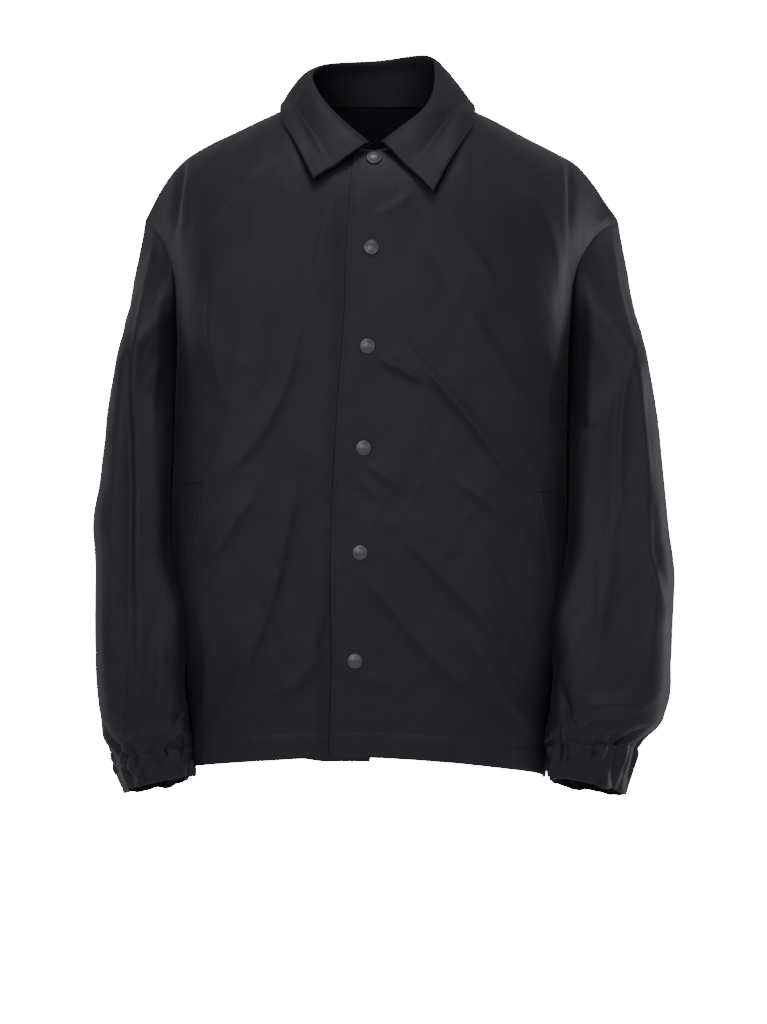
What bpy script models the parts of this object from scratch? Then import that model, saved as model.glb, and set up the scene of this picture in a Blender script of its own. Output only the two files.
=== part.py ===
# Coach jacket held in the form of the body that wore it: open cloth walls, seams about half a millimetre apart.
# Metres. +X is picture right (the wearer's left), -Y is the front, +Z up, origin at the base of the neck.
import math

import bpy
import numpy as np

for old in list(bpy.data.objects):
    bpy.data.objects.remove(old, do_unlink=True)

WALL = 0.0015  # shell cloth with its turned edges
GAP = 0.0002  # each piece's half of the space at a seam
CHEST = -0.20  # below this height the fronts and back hang straight
ARMPIT = -0.335
OVERLAP = 0.0205  # from the snap line to the placket's edge
UNDER = 0.0024  # how far the under front lies behind the top front

ARM_ROWS = 8  # rows from the shoulder to the chest
PIT_ROWS = 9  # from the chest to the armpit
HEM_ROWS = 13  # from the armpit to the hem
NECK_COLS = 6
SHOULDER_COLS = 7
SLEEVE_COLS = 2 * (ARM_ROWS + PIT_ROWS)
SLEEVE_ROWS = 18
ELBOW_ROW = 9
GATHERS = 11

# Body at each height: middle x, half width, front y, back y, squareness of the corners
BODY = (
    (-0.20, -0.0040, 0.2000, -0.130, 0.126, 2.9),
    (-0.335, -0.0070, 0.1990, -0.131, 0.130, 3.3),
    (-0.45, -0.0095, 0.1995, -0.130, 0.133, 3.5),
    (-0.53, -0.0105, 0.1975, -0.128, 0.134, 3.45),
    (-0.60, -0.0110, 0.1915, -0.125, 0.1335, 3.3),
    (-0.68, -0.0095, 0.1785, -0.121, 0.132, 3.0),
)
# Snap line: height, x
SNAP_LINE = ((-0.04, -0.0035), (-0.15, -0.0063), (-0.245, -0.0101), (-0.345, -0.0140), (-0.448, -0.0175),
             (-0.555, -0.0225), (-0.68, -0.0280))
# Hem height across the front and back, by share of the way from the middle (0) to each side seam (1)
HEM_FRONT = ((-1.0, -0.666), (-0.7, -0.660), (-0.35, -0.653), (0.0, -0.6505), (0.35, -0.6545), (0.7, -0.666),
             (1.0, -0.675))
HEM_BACK = ((-1.0, -0.666), (0.0, -0.668), (1.0, -0.675))

# Neck edge from the snap line to the shoulder point, then the shoulder line out to the dropped tip: x, y, z
FRONT_NECK = ((0.0, -0.0835, -0.0470), (0.030, -0.0760, -0.0395), (0.060, -0.0520, -0.0220),
              (0.078, -0.0250, -0.0040), (0.085, 0.0020, 0.0070))
BACK_NECK = ((0.085, 0.0020, 0.0070), (0.079, 0.0280, 0.0120), (0.062, 0.0520, 0.0150), (0.034, 0.0700, 0.0170),
             (0.0, 0.0760, 0.0175))
SHOULDER_RIGHT = ((0.085, 0.002, 0.0070), (0.120, 0.004, -0.0090), (0.151, 0.005, -0.0255), (0.182, 0.005, -0.0410),
                  (0.203, 0.004, -0.0530), (0.219, 0.003, -0.0700), (0.233, 0.001, -0.0910), (0.2450, 0.0, -0.1090))
SHOULDER_LEFT = ((-0.085, 0.002, 0.0070), (-0.115, 0.004, -0.0060), (-0.1425, 0.005, -0.0190),
                 (-0.174, 0.005, -0.0340), (-0.197, 0.004, -0.0480), (-0.2125, 0.003, -0.0640),
                 (-0.2255, 0.001, -0.0840), (-0.2375, 0.0, -0.1090))
ARMHOLE_FRONT_Y = -0.058
ARMHOLE_BACK_Y = 0.064

# Creases as seen from the front: x and z of each end, half width, height of the ridge (below 0 a valley)
FRONT_FOLDS = (
    (-0.172, -0.045, -0.196, -0.130, 0.008, -0.0100),
    (-0.196, -0.130, -0.193, -0.235, 0.008, -0.0080),
    (0.190, -0.055, 0.196, -0.120, 0.008, -0.0100),
    (0.196, -0.120, 0.192, -0.230, 0.008, -0.0080),
    (-0.125, -0.070, -0.163, -0.118, 0.010, 0.0045),
    (-0.145, -0.125, -0.162, -0.290, 0.014, 0.0050),
    (-0.112, -0.180, -0.150, -0.330, 0.011, -0.0045),
    (-0.079, -0.238, -0.132, -0.350, 0.011, 0.0042),
    (-0.132, -0.350, -0.172, -0.376, 0.009, 0.0036),
    (-0.078, -0.390, -0.122, -0.530, 0.011, 0.0050),
    (-0.122, -0.530, -0.148, -0.608, 0.011, 0.0045),
    (-0.165, -0.520, -0.152, -0.640, 0.010, -0.0030),
    (0.000, -0.247, 0.048, -0.283, 0.010, 0.0052),
    (0.048, -0.283, 0.096, -0.335, 0.010, 0.0062),
    (0.096, -0.335, 0.140, -0.396, 0.010, 0.0058),
    (0.140, -0.396, 0.160, -0.428, 0.009, 0.0035),
    (0.044, -0.255, 0.078, -0.298, 0.007, -0.0030),
    (0.096, -0.195, 0.142, -0.298, 0.011, 0.0040),
    (0.126, -0.065, 0.163, -0.112, 0.010, 0.0040),
    (0.046, -0.090, 0.010, -0.125, 0.009, 0.0034),
    (-0.018, -0.462, 0.045, -0.555, 0.011, 0.0045),
    (0.045, -0.555, 0.078, -0.580, 0.009, 0.0030),
    (0.042, -0.452, 0.108, -0.548, 0.011, 0.0050),
    (0.108, -0.548, 0.148, -0.628, 0.011, 0.0050),
    (0.072, -0.424, 0.120, -0.462, 0.010, 0.0040),
    (-0.040, -0.120, -0.075, -0.205, 0.013, 0.0030),
    (0.150, -0.180, 0.168, -0.300, 0.012, 0.0042),
)
# The same seen from the back
BACK_FOLDS = (
    (-0.150, -0.080, -0.120, -0.230, 0.013, 0.0050),
    (0.152, -0.085, 0.118, -0.240, 0.013, 0.0050),
    (-0.182, -0.120, -0.176, -0.270, 0.009, -0.0080),
    (0.184, -0.120, 0.178, -0.270, 0.009, -0.0080),
    (-0.060, -0.060, -0.020, -0.150, 0.014, 0.0030),
    (0.030, -0.200, 0.085, -0.330, 0.013, 0.0045),
    (-0.090, -0.240, -0.030, -0.380, 0.013, 0.0048),
    (-0.160, -0.300, -0.080, -0.450, 0.012, 0.0056),
    (0.155, -0.290, 0.075, -0.455, 0.012, 0.0056),
    (-0.020, -0.400, 0.040, -0.560, 0.012, 0.0042),
    (0.130, -0.470, 0.080, -0.630, 0.012, 0.0052),
    (-0.135, -0.480, -0.095, -0.650, 0.012, 0.0050),
    (-0.050, -0.520, -0.010, -0.660, 0.012, 0.0036),
)
# Sleeve at each height: outer x, inner x, front y, back y
SLEEVE_LEFT = (
    (-0.105, -0.2400, -0.2050, -0.070, 0.072),
    (-0.150, -0.2465, -0.2010, -0.082, 0.085),
    (-0.200, -0.2540, -0.1995, -0.087, 0.092),
    (-0.260, -0.2640, -0.2020, -0.089, 0.096),
    (-0.320, -0.2720, -0.2080, -0.091, 0.097),
    (-0.370, -0.2775, -0.2105, -0.094, 0.094),
    (-0.420, -0.2845, -0.2115, -0.098, 0.085),
    (-0.455, -0.2820, -0.2120, -0.101, 0.074),
    (-0.500, -0.2818, -0.2115, -0.103, 0.062),
    (-0.550, -0.2815, -0.2095, -0.105, 0.050),
    (-0.590, -0.2800, -0.2060, -0.104, 0.040),
    (-0.625, -0.2760, -0.2015, -0.101, 0.028),
    (-0.660, -0.2670, -0.1990, -0.094, 0.004),
    (-0.700, -0.2560, -0.1950, -0.090, 0.000),
)
SLEEVE_RIGHT = (
    (-0.105, 0.2470, 0.2080, -0.070, 0.072),
    (-0.150, 0.2530, 0.2000, -0.082, 0.085),
    (-0.200, 0.2610, 0.1960, -0.087, 0.092),
    (-0.260, 0.2720, 0.1960, -0.089, 0.096),
    (-0.320, 0.2810, 0.1955, -0.091, 0.097),
    (-0.370, 0.2860, 0.1950, -0.094, 0.094),
    (-0.420, 0.2905, 0.1940, -0.098, 0.085),
    (-0.470, 0.2965, 0.1930, -0.102, 0.072),
    (-0.520, 0.2950, 0.1910, -0.104, 0.060),
    (-0.560, 0.2935, 0.1890, -0.106, 0.050),
    (-0.595, 0.2910, 0.1865, -0.106, 0.042),
    (-0.618, 0.2830, 0.1830, -0.104, 0.030),
    (-0.640, 0.2680, 0.1785, -0.096, 0.008),
    (-0.700, 0.2500, 0.1720, -0.092, 0.002),
)
# Sleeve creases: share round the sleeve from the outer side by way of the front, and z, of each end, then
# half width and height
SLEEVE_LEFT_FOLDS = (
    (0.10, -0.205, 0.11, -0.400, 0.010, 0.0040), (0.11, -0.400, 0.09, -0.640, 0.010, 0.0045),
    (0.17, -0.480, 0.14, -0.610, 0.008, -0.0040), (0.24, -0.170, 0.30, -0.300, 0.012, 0.0045),
    (0.30, -0.330, 0.22, -0.440, 0.011, 0.0045), (0.34, -0.430, 0.24, -0.520, 0.011, 0.0040),
    (0.05, -0.420, 0.20, -0.480, 0.010, -0.0040), (0.80, -0.300, 0.62, -0.380, 0.013, 0.0055),
    (0.86, -0.360, 0.64, -0.430, 0.012, 0.0055), (0.88, -0.440, 0.66, -0.480, 0.012, 0.0045),
    (0.92, -0.180, 0.84, -0.290, 0.012, 0.0040), (0.74, -0.520, 0.62, -0.600, 0.011, 0.0045),
    (0.28, -0.560, 0.36, -0.640, 0.009, 0.0040),
)
SLEEVE_RIGHT_FOLDS = (
    (0.10, -0.245, 0.20, -0.330, 0.009, 0.0045), (0.20, -0.330, 0.22, -0.440, 0.010, 0.0045),
    (0.08, -0.245, 0.09, -0.450, 0.009, 0.0045), (0.09, -0.450, 0.05, -0.600, 0.010, 0.0045),
    (0.26, -0.160, 0.32, -0.290, 0.012, 0.0045), (0.15, -0.380, 0.14, -0.520, 0.009, -0.0040),
    (0.30, -0.440, 0.16, -0.520, 0.011, 0.0040), (0.33, -0.520, 0.18, -0.575, 0.011, 0.0045),
    (0.82, -0.310, 0.62, -0.390, 0.013, 0.0055), (0.88, -0.370, 0.64, -0.440, 0.012, 0.0055),
    (0.90, -0.450, 0.66, -0.500, 0.012, 0.0045), (0.90, -0.190, 0.84, -0.300, 0.012, 0.0040),
    (0.22, -0.600, 0.36, -0.625, 0.010, -0.0050),
)
# Cuff planes: top z, bottom z at the cuff's middle, rise towards +x, rise towards +y, then the lower ring's
# outer x, inner x, front y, back y
CUFF_LEFT = (-0.6545, -0.6830, 0.21, -0.16, -0.2545, -0.1930, -0.086, -0.010)
CUFF_RIGHT = (-0.6465, -0.6850, -0.20, -0.16, 0.2470, 0.1745, -0.088, -0.008)
# The upper ring's outer x, inner x, front y, back y
CUFF_TOP_LEFT = (-0.2650, -0.1980, -0.092, -0.004)
CUFF_TOP_RIGHT = (0.2600, 0.1760, -0.094, -0.002)

# Collar, from the picture-left end round the back: share, roll line x, y, z, outer edge x, y, z
COLLAR = (
    (-1.00, -0.0075, -0.0865, -0.0400, -0.0640, -0.1075, -0.0825),
    (-0.86, -0.0265, -0.0790, -0.0240, -0.0742, -0.0935, -0.0640),
    (-0.70, -0.0465, -0.0605, -0.0040, -0.0850, -0.0690, -0.0415),
    (-0.50, -0.0640, -0.0280, 0.0220, -0.0950, -0.0345, -0.0140),
    (-0.36, -0.0685, 0.0060, 0.0400, -0.0975, 0.0080, 0.0090),
    (-0.18, -0.0540, 0.0450, 0.0550, -0.0790, 0.0650, 0.0140),
    (0.00, 0.0000, 0.0640, 0.0610, 0.0000, 0.0960, 0.0150),
    (0.18, 0.0510, 0.0460, 0.0640, 0.0780, 0.0650, 0.0140),
    (0.36, 0.0600, 0.0060, 0.0420, 0.0960, 0.0080, 0.0090),
    (0.50, 0.0575, -0.0300, 0.0190, 0.0940, -0.0345, -0.0170),
    (0.70, 0.0440, -0.0605, -0.0050, 0.0812, -0.0700, -0.0475),
    (0.86, 0.0220, -0.0790, -0.0240, 0.0680, -0.0950, -0.0710),
    (1.00, 0.0030, -0.0865, -0.0390, 0.0546, -0.1085, -0.0924),
)
# Snaps: height
SNAP_Z = (-0.0564, -0.1478, -0.2450, -0.3451, -0.4478, -0.5546)
SNAP_RADIUS = 0.0075
# Welts: x and z of upper inner, upper outer, lower inner and lower outer corners
WELT_LEFT = ((0.1517, -0.3865), (0.1780, -0.3850), (0.1700, -0.5240), (0.1795, -0.5420))
WELT_RIGHT = ((-0.1707, -0.3780), (-0.1940, -0.3765), (-0.1910, -0.5150), (-0.1990, -0.5340))


def smooth(value, low, high):
    """0 below low, 1 above high, an even curve between."""
    share = np.clip((np.asarray(value, float) - low) / (high - low), 0.0, 1.0)
    return share * share * (3.0 - 2.0 * share)


def read(table, at, column):
    """A smooth line through one column of a table, by its first column."""
    rows = np.array(sorted(tuple(float(v) for v in row) for row in table))
    x, y = rows[:, 0], rows[:, column]
    slope = np.gradient(y, x)
    at = np.clip(np.asarray(at, float), x[0], x[-1])
    i = np.clip(np.searchsorted(x, at) - 1, 0, len(x) - 2)
    step = x[i + 1] - x[i]
    s = (at - x[i]) / step
    a = (1 + 2 * s) * (1 - s) ** 2
    b = s * (1 - s) ** 2
    c = s * s * (3 - 2 * s)
    d = s * s * (s - 1)
    return a * y[i] + b * step * slope[i] + c * y[i + 1] + d * step * slope[i + 1]


def spaced(points, shares):
    """Points at the given shares of a line's length."""
    points = np.asarray(points, float)
    steps = np.linalg.norm(np.diff(points, axis=0), axis=1)
    along = np.concatenate([[0.0], np.cumsum(steps)])
    at = np.asarray(shares, float) * along[-1]
    return np.stack([np.interp(at, along, points[:, k]) for k in range(3)], axis=1)


def curve(points, count=161):
    """An evenly spaced smooth line through a few points."""
    points = np.asarray(points, float)
    steps = np.linalg.norm(np.diff(points, axis=0), axis=1)
    along = np.concatenate([[0.0], np.cumsum(steps)])
    rows = [(along[i], *points[i]) for i in range(len(points))]
    at = np.linspace(0.0, along[-1], count)
    dense = np.stack([read(rows, at, k) for k in (1, 2, 3)], axis=1)
    return spaced(dense, np.linspace(0, 1, count))


def unit(vectors):
    return vectors / np.maximum(np.linalg.norm(vectors, axis=-1, keepdims=True), 1e-12)


def ring_point(angle, z, side):
    """Point of the body at an angle from the front middle (-pi/2 picture left, pi/2 picture right)."""
    middle, half, front, back, square = (read(BODY, z, k) for k in range(1, 6))
    depth = front if side == "front" else back
    s, c = np.sin(angle), np.cos(angle)
    x = middle + half * np.sign(s) * np.abs(s) ** (2 / square)
    y = depth * np.abs(c) ** (2 / square)
    return np.stack([x, y, np.broadcast_to(z, x.shape)], axis=-1)


DENSE = np.linspace(-1.0, 1.0, 321)


def level(z_edge, z_middle, edge_y, side):
    """One row below the chest from picture left to picture right, its ends at edge_y."""
    depth = float(read(BODY, z_edge, 3 if side == "front" else 4))
    square = float(read(BODY, z_edge, 5))
    end = math.acos(min(1.0, max(0.0, edge_y / depth)) ** (square / 2))
    # more points near the ends, where the corner bends
    angle = end * np.sin(np.linspace(-math.pi / 2, math.pi / 2, 641))
    line = ring_point(angle, np.full(641, z_edge), side)
    middle_x = float(read(SNAP_LINE, z_edge, 1)) if side == "front" else 0.0
    steps = np.linalg.norm(np.diff(line, axis=0), axis=1)
    along = np.concatenate([[0.0], np.cumsum(steps)])
    zero = np.interp(middle_x, line[:, 0], along)
    share = np.where(along < zero, (along - zero) / zero, (along - zero) / (along[-1] - zero))
    angle = np.interp(DENSE, share, angle)
    z = z_middle + (z_edge - z_middle) * smooth(np.abs(DENSE), 0.45, 1.0) if np.ndim(z_middle) == 0 else z_middle
    return ring_point(angle, z, side)


def top_line(side):
    """Neck edge and shoulder lines, from the picture-left tip to the picture-right tip, at the dense shares."""
    neck = FRONT_NECK if side == "front" else BACK_NECK[::-1]
    right_neck = curve(neck)
    left_neck = right_neck * (-1, 1, 1)
    if side == "front":
        shift = -0.0035 * smooth(-right_neck[:, 2], 0.0, 0.045)
        right_neck = right_neck + shift[:, None] * (1, 0, 0)
        left_neck = left_neck + shift[:, None] * (1, 0, 0)
    share = np.abs(DENSE)
    out = np.zeros((len(DENSE), 3))
    for sign, inner, outer in ((-1, left_neck, curve(SHOULDER_LEFT)), (1, right_neck, curve(SHOULDER_RIGHT))):
        mine = DENSE * sign >= 0
        on_neck = mine & (share <= NECK_SHARE)
        on_shoulder = mine & (share > NECK_SHARE)
        out[on_neck] = spaced(inner, share[on_neck] / NECK_SHARE)
        out[on_shoulder] = spaced(outer, (share[on_shoulder] - NECK_SHARE) / (1 - NECK_SHARE))
    return out


NECK_SHARE = 0.38


def dense_rows(side):
    """Every row of the front or back as a dense line, from the shoulder to the hem."""
    edge = ARMHOLE_FRONT_Y if side == "front" else ARMHOLE_BACK_Y
    top = top_line(side)
    chest = level(CHEST, CHEST, edge, side)
    share = np.abs(DENSE)
    neck_lean = 56.0 if side == "front" else 62.0
    lean = neck_lean + (88.0 - neck_lean) * smooth(share, 0.0, NECK_SHARE) - 14.0 * smooth(share, 0.75, 1.0)
    lean = np.radians(lean)
    rows = []
    for k in range(ARM_ROWS):
        angle = lean * (1 - k / ARM_ROWS)
        across = (1 - np.cos(angle)) / (1 - np.cos(lean))
        up = np.sin(angle) / np.sin(lean)
        gain = np.stack([across, across, up], axis=1)
        rows.append(chest + (top - chest) * gain)
    for k in range(PIT_ROWS):
        turn = math.pi / 2 * k / PIT_ROWS
        z_edge = CHEST + (ARMPIT - CHEST) * math.sin(turn)
        z_middle = CHEST + (ARMPIT - CHEST) * k / PIT_ROWS
        rows.append(level(z_edge, z_middle, edge * math.cos(turn), side))
    hem = read(HEM_FRONT if side == "front" else HEM_BACK, DENSE, 1)
    for k in range(HEM_ROWS + 1):
        share = (k / HEM_ROWS) ** 0.93
        z = ARMPIT + (hem - ARMPIT) * share
        rows.append(level(float(ARMPIT + (-0.664 - ARMPIT) * share), z, 0.0, side))
    return rows


def along_row(row, shares):
    """Points of a dense row at shares from the snap line (or the back's middle) to either end, by length."""
    steps = np.linalg.norm(np.diff(row, axis=0), axis=1)
    along = np.concatenate([[0.0], np.cumsum(steps)])
    zero = np.interp(0.0, DENSE, along)
    shares = np.asarray(shares, float)
    at = np.where(shares < 0, zero + shares * zero, zero + shares * (along[-1] - zero))
    return np.stack([np.interp(at, along, row[:, k]) for k in range(3)], axis=1), zero, along[-1] - zero


def panel(side, half):
    """Grid of one panel before its creases: half is -1 (picture left), 1 (picture right) or 0 (whole)."""
    rows = dense_rows(side)
    grid = []
    for index, row in enumerate(rows):
        _, left, right = along_row(row, [0.0])
        if index == 0:
            steps = np.linalg.norm(np.diff(row, axis=0), axis=1)
            along = np.concatenate([[0.0], np.cumsum(steps)])
            zero = np.interp(0.0, DENSE, along)
            neck = {1: (np.interp(NECK_SHARE, DENSE, along) - zero), -1: (zero - np.interp(-NECK_SHARE, DENSE, along))}
            length = {1: right, -1: left}
        spans = {}
        for sign, width in ((1, right), (-1, left)):
            start = OVERLAP if side == "front" else 0.0
            first = (neck[sign] - start) / (length[sign] - start)
            shares = np.concatenate([
                np.linspace(0, first, NECK_COLS + 1),
                np.linspace(first, 1, SHOULDER_COLS + 1)[1:],
            ])
            spans[sign] = sign * (start + shares * (width - start)) / width
        if half == 0:
            shares = np.concatenate([spans[-1][::-1], spans[1][1:]])
        elif half == 1:
            shares = np.concatenate([[-OVERLAP / left, 0.0], spans[1]])
        else:
            shares = np.concatenate([[OVERLAP / right, 0.0], spans[-1]])
        grid.append(along_row(row, shares)[0])
    return np.array(grid)


def normals(grid, outward):
    """Normals of a grid from its neighbours; outward gives the sign at its middle."""
    across = np.gradient(grid, axis=1)
    down = np.gradient(grid, axis=0)
    found = unit(np.cross(across, down))
    middle = found[grid.shape[0] // 2, grid.shape[1] // 2]
    return found * (1.0 if np.dot(middle, outward) > 0 else -1.0)


def ridge(a, b, fold):
    """A ridge along a segment: bell-shaped across it, tapered at both ends."""
    a0, b0, a1, b1, wide, high = fold
    da, db = a1 - a0, b1 - b0
    length = math.hypot(da, db)
    share = ((a - a0) * da + (b - b0) * db) / length**2
    clipped = np.clip(share, 0.0, 1.0)
    away = np.hypot(a - a0 - clipped * da, b - b0 - clipped * db)
    taper = 1.0 - 0.35 * np.abs(2 * clipped - 1.0) ** 2
    return high * taper * np.exp(-((away / wide) ** 2))


def crease(grid, table, facing):
    """How far each point moves along its normal, from a table of creases seen along y."""
    x, z = grid[..., 0], grid[..., 2]
    total = sum(ridge(x, z, fold) for fold in table)
    return total * facing


def calm(shape, rows_top, edge_columns, left=True, right=True):
    """Fades creases out towards seams: rows from the top, columns from the sides."""
    r = np.arange(shape[0])[:, None] * np.ones(shape[1])[None, :]
    c = np.arange(shape[1])[None, :] * np.ones(shape[0])[:, None]
    keep = smooth(r, 0, rows_top)
    if left:
        keep = keep * smooth(c, 0, edge_columns)
    if right:
        keep = keep * smooth(shape[1] - 1 - c, 0, edge_columns)
    return keep


def armhole_out(points):
    """Direction out of the armhole's loop at each of its points."""
    middle = points.mean(axis=0)
    away = points - middle
    away[:, 0] *= 0.35
    return unit(away)


def apart(points, out, toward):
    """The small move that opens a seam: across the seam's mitre plane, to the side of toward."""
    tangent = np.gradient(points, axis=0)
    across = unit(np.cross(tangent, out))
    sign = np.sign(np.sum(across * toward, axis=1, keepdims=True))
    return across * sign * GAP


def wall(name, outer, out, around, finish, thickness=WALL, turned=0):
    """One closed solid between a grid and the same grid moved in; around joins the last column to the first, and
    that many first columns of squares are split along their other diagonal."""
    rows, cols = outer.shape[:2]
    inner = outer - out * thickness
    points = np.concatenate([outer.reshape(-1, 3), inner.reshape(-1, 3)])
    base = rows * cols
    faces = []
    last = cols if around else cols - 1
    for r in range(rows - 1):
        for c in range(last):
            d = (c + 1) % cols
            i, j, k, l = r * cols + c, r * cols + d, (r + 1) * cols + d, (r + 1) * cols + c
            if c < turned:
                i, j, k, l = j, k, l, i
            faces += [(i, j, k), (i, k, l)]
            faces += [(base + i, base + k, base + j), (base + i, base + l, base + k)]
    for c in range(last):
        d = (c + 1) % cols
        i, j = c, d
        faces += [(i, base + j, j), (i, base + i, base + j)]
        i, j = (rows - 1) * cols + c, (rows - 1) * cols + d
        faces += [(i, j, base + j), (i, base + j, base + i)]
    if not around:
        for r in range(rows - 1):
            i, j = r * cols, (r + 1) * cols
            faces += [(i, j, base + j), (i, base + j, base + i)]
            i, j = r * cols + cols - 1, (r + 1) * cols + cols - 1
            faces += [(i, base + j, j), (i, base + i, base + j)]
    faces = np.array(faces)
    volume = np.linalg.det(points[faces] - points.mean(axis=0)).sum()
    if volume < 0:
        faces = faces[:, ::-1]
    return solid(name, points, faces, finish)


def solid(name, points, faces, finish):
    mesh = bpy.data.meshes.new(name)
    mesh.from_pydata([tuple(map(float, p)) for p in points], [], [tuple(map(int, f)) for f in faces])
    mesh.update()
    made = bpy.data.objects.new(name, mesh)
    bpy.context.scene.collection.objects.link(made)
    colour, rough, metal = finish
    material = bpy.data.materials.new(name)
    material.use_nodes = True
    shader = material.node_tree.nodes["Principled BSDF"]
    shader.inputs["Base Color"].default_value = (*colour, 1.0)
    shader.inputs["Roughness"].default_value = rough
    shader.inputs["Metallic"].default_value = metal
    mesh.materials.append(material)
    return made


CLOTH = ((0.020, 0.020, 0.023), 0.62, 0.0)  # black woven shell
METAL = ((0.070, 0.070, 0.082), 0.36, 1.0)  # dark pressed caps

# Fronts and back: base grids, creases, then the seams they share
front_right = panel("front", -1)  # columns run from the under edge to picture left
front_left = panel("front", 1)  # from the placket edge to picture right
back = panel("back", 0)
arm = ARM_ROWS + PIT_ROWS

for_front = np.array((0.0, -1.0, 0.0))
for_back = np.array((0.0, 1.0, 0.0))
grids = {}
for name, base, outward, table in (
    ("front_right", front_right, for_front, FRONT_FOLDS),
    ("front_left", front_left, for_front, FRONT_FOLDS),
    ("back", back, for_back, BACK_FOLDS),
):
    out = normals(base, outward)
    facing = smooth(np.abs(out[..., 1]), 0.05, 0.5)
    keep = calm(base.shape, 3, 3, left=name == "back")
    grids[name] = base + out * (crease(base, table, facing) * keep)[..., None]

# The under front lies behind the placket
right_grid = grids["front_right"]
line = read(SNAP_LINE, right_grid[..., 2], 1)
behind = smooth(right_grid[..., 0] - line, -0.040, -0.0235)
out = normals(right_grid, for_front)
right_grid = right_grid - out * (UNDER * behind)[..., None]
low = smooth(-right_grid[..., 2], 0.60, 0.66) * smooth(right_grid[..., 0] - line, -0.05, -0.022)
right_grid = right_grid + np.stack([0 * low, 0 * low, -0.0045 * low], axis=-1)
grids["front_right"] = right_grid

body_out = {
    "front_right": normals(grids["front_right"], for_front),
    "front_left": normals(grids["front_left"], for_front),
    "back": normals(grids["back"], for_back),
}
# side seams: both panels take one direction there
for front, edge in (("front_right", 0), ("front_left", -1)):
    both = unit(body_out[front][arm:, -1] + body_out["back"][arm:, edge])
    both[:, 1] *= 0.3
    both = unit(both)
    body_out[front][arm:, -1] = both
    body_out["back"][arm:, edge] = both
# shoulder seams
for front, part in (("front_right", slice(0, SHOULDER_COLS + 1)), ("front_left", slice(-SHOULDER_COLS - 1, None))):
    mine = body_out[front][0, -SHOULDER_COLS - 1 :]
    other = body_out["back"][0, part]
    if front == "front_right":
        both = unit(mine + other[::-1])
        body_out["back"][0, part] = both[::-1]
    else:
        both = unit(mine + other)
        body_out["back"][0, part] = both
    body_out[front][0, -SHOULDER_COLS - 1 :] = both

# Armhole loops, from the shoulder tip by way of the front to the underarm and back up
loops = {}
for side, front, edge in (("left", "front_left", -1), ("right", "front_right", 0)):
    forward = grids[front][: arm + 1, -1]
    rear = grids["back"][: arm + 1, edge]
    loop = np.concatenate([forward, rear[arm - 1 : 0 : -1]])
    out = armhole_out(loop)
    loops[side] = (loop.copy(), out)
    body_out[front][: arm + 1, -1] = out[: arm + 1]
    body_out["back"][: arm + 1, edge] = np.concatenate([out[:1], out[: arm - 1 : -1]])

final = {name: grid.copy() for name, grid in grids.items()}
# Open the side seams, the shoulder seams and the armholes by moving each edge off the shared line
for front, edge in (("front_right", 0), ("front_left", -1)):
    for name, column, toward in ((front, -1, for_front), ("back", edge, for_back)):
        points, out = grids[name][arm:, column], body_out[name][arm:, column]
        final[name][arm:, column] += apart(points, out, toward)
        points, out = grids[name][: arm + 1, column], body_out[name][: arm + 1, column]
        inward = np.array((1.0, 0.0, 0.0)) * -np.sign(points[0, 0])
        final[name][: arm + 1, column] += apart(points, out, inward)
for name, part, toward in (
    ("front_right", slice(-SHOULDER_COLS - 1, None), for_front),
    ("front_left", slice(-SHOULDER_COLS - 1, None), for_front),
    ("back", slice(0, SHOULDER_COLS + 1), for_back),
    ("back", slice(-SHOULDER_COLS - 1, None), for_back),
):
    final[name][0, part] += apart(grids[name][0, part], body_out[name][0, part], toward)


def portion(grid, first_row, last_row, first_col, last_col):
    """A stretch of a grid with its cut edges moved in by half of a seam's space."""
    part = grid[first_row : last_row + 1, first_col : last_col + 1].copy()
    if first_row > 0:
        part[0] += unit(part[1] - part[0]) * GAP
    if last_row < len(grid) - 1:
        part[-1] += unit(part[-2] - part[-1]) * GAP
    if first_col > 0:
        part[:, 0] += unit(part[:, 1] - part[:, 0]) * GAP
    if last_col < grid.shape[1] - 1:
        part[:, -1] += unit(part[:, -2] - part[:, -1]) * GAP
    return part


# Each panel is held as an upper and a lower stretch, and the back's as a left and a right one too, so that every
# solid is a gently curved strip of cloth
for name in ("front_left", "front_right", "back"):
    hem, side = len(final[name]) - 1, final[name].shape[1] - 1
    halves = ((name, 0, side),)
    if name == "back":
        halves = (("back_right", 0, side // 2), ("back_left", side // 2, side))
    for half_name, first_col, last_col in halves:
        for level_name, first_row, last_row in (("upper", 0, ARM_ROWS), ("lower", ARM_ROWS, hem)):
            stretch = (first_row, last_row, first_col, last_col)
            around_here = body_out[name][first_row : last_row + 1, first_col : last_col + 1]
            # the two fronts share their diagonals where they overlap
            turned = 2 if name == "front_right" else 0
            wall(half_name + "_" + level_name, portion(final[name], *stretch), around_here, False, CLOTH, turned=turned)


# Sleeves: columns run from the armhole's loop down to the gathered cuff
def tube_point(share, outer, inner, front, rear, square=2.35):
    """Point of a sleeve's ring: share 0 outer, a quarter front, a half inner, three quarters back."""
    angle = 2 * math.pi * share
    c, s = np.cos(angle), np.sin(angle)
    x = (outer + inner) / 2 + (outer - inner) / 2 * np.sign(c) * np.abs(c) ** (2 / square)
    y = (front + rear) / 2 + (front - rear) / 2 * np.sign(s) * np.abs(s) ** (2 / square)
    return np.stack([x, y], axis=-1)


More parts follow.
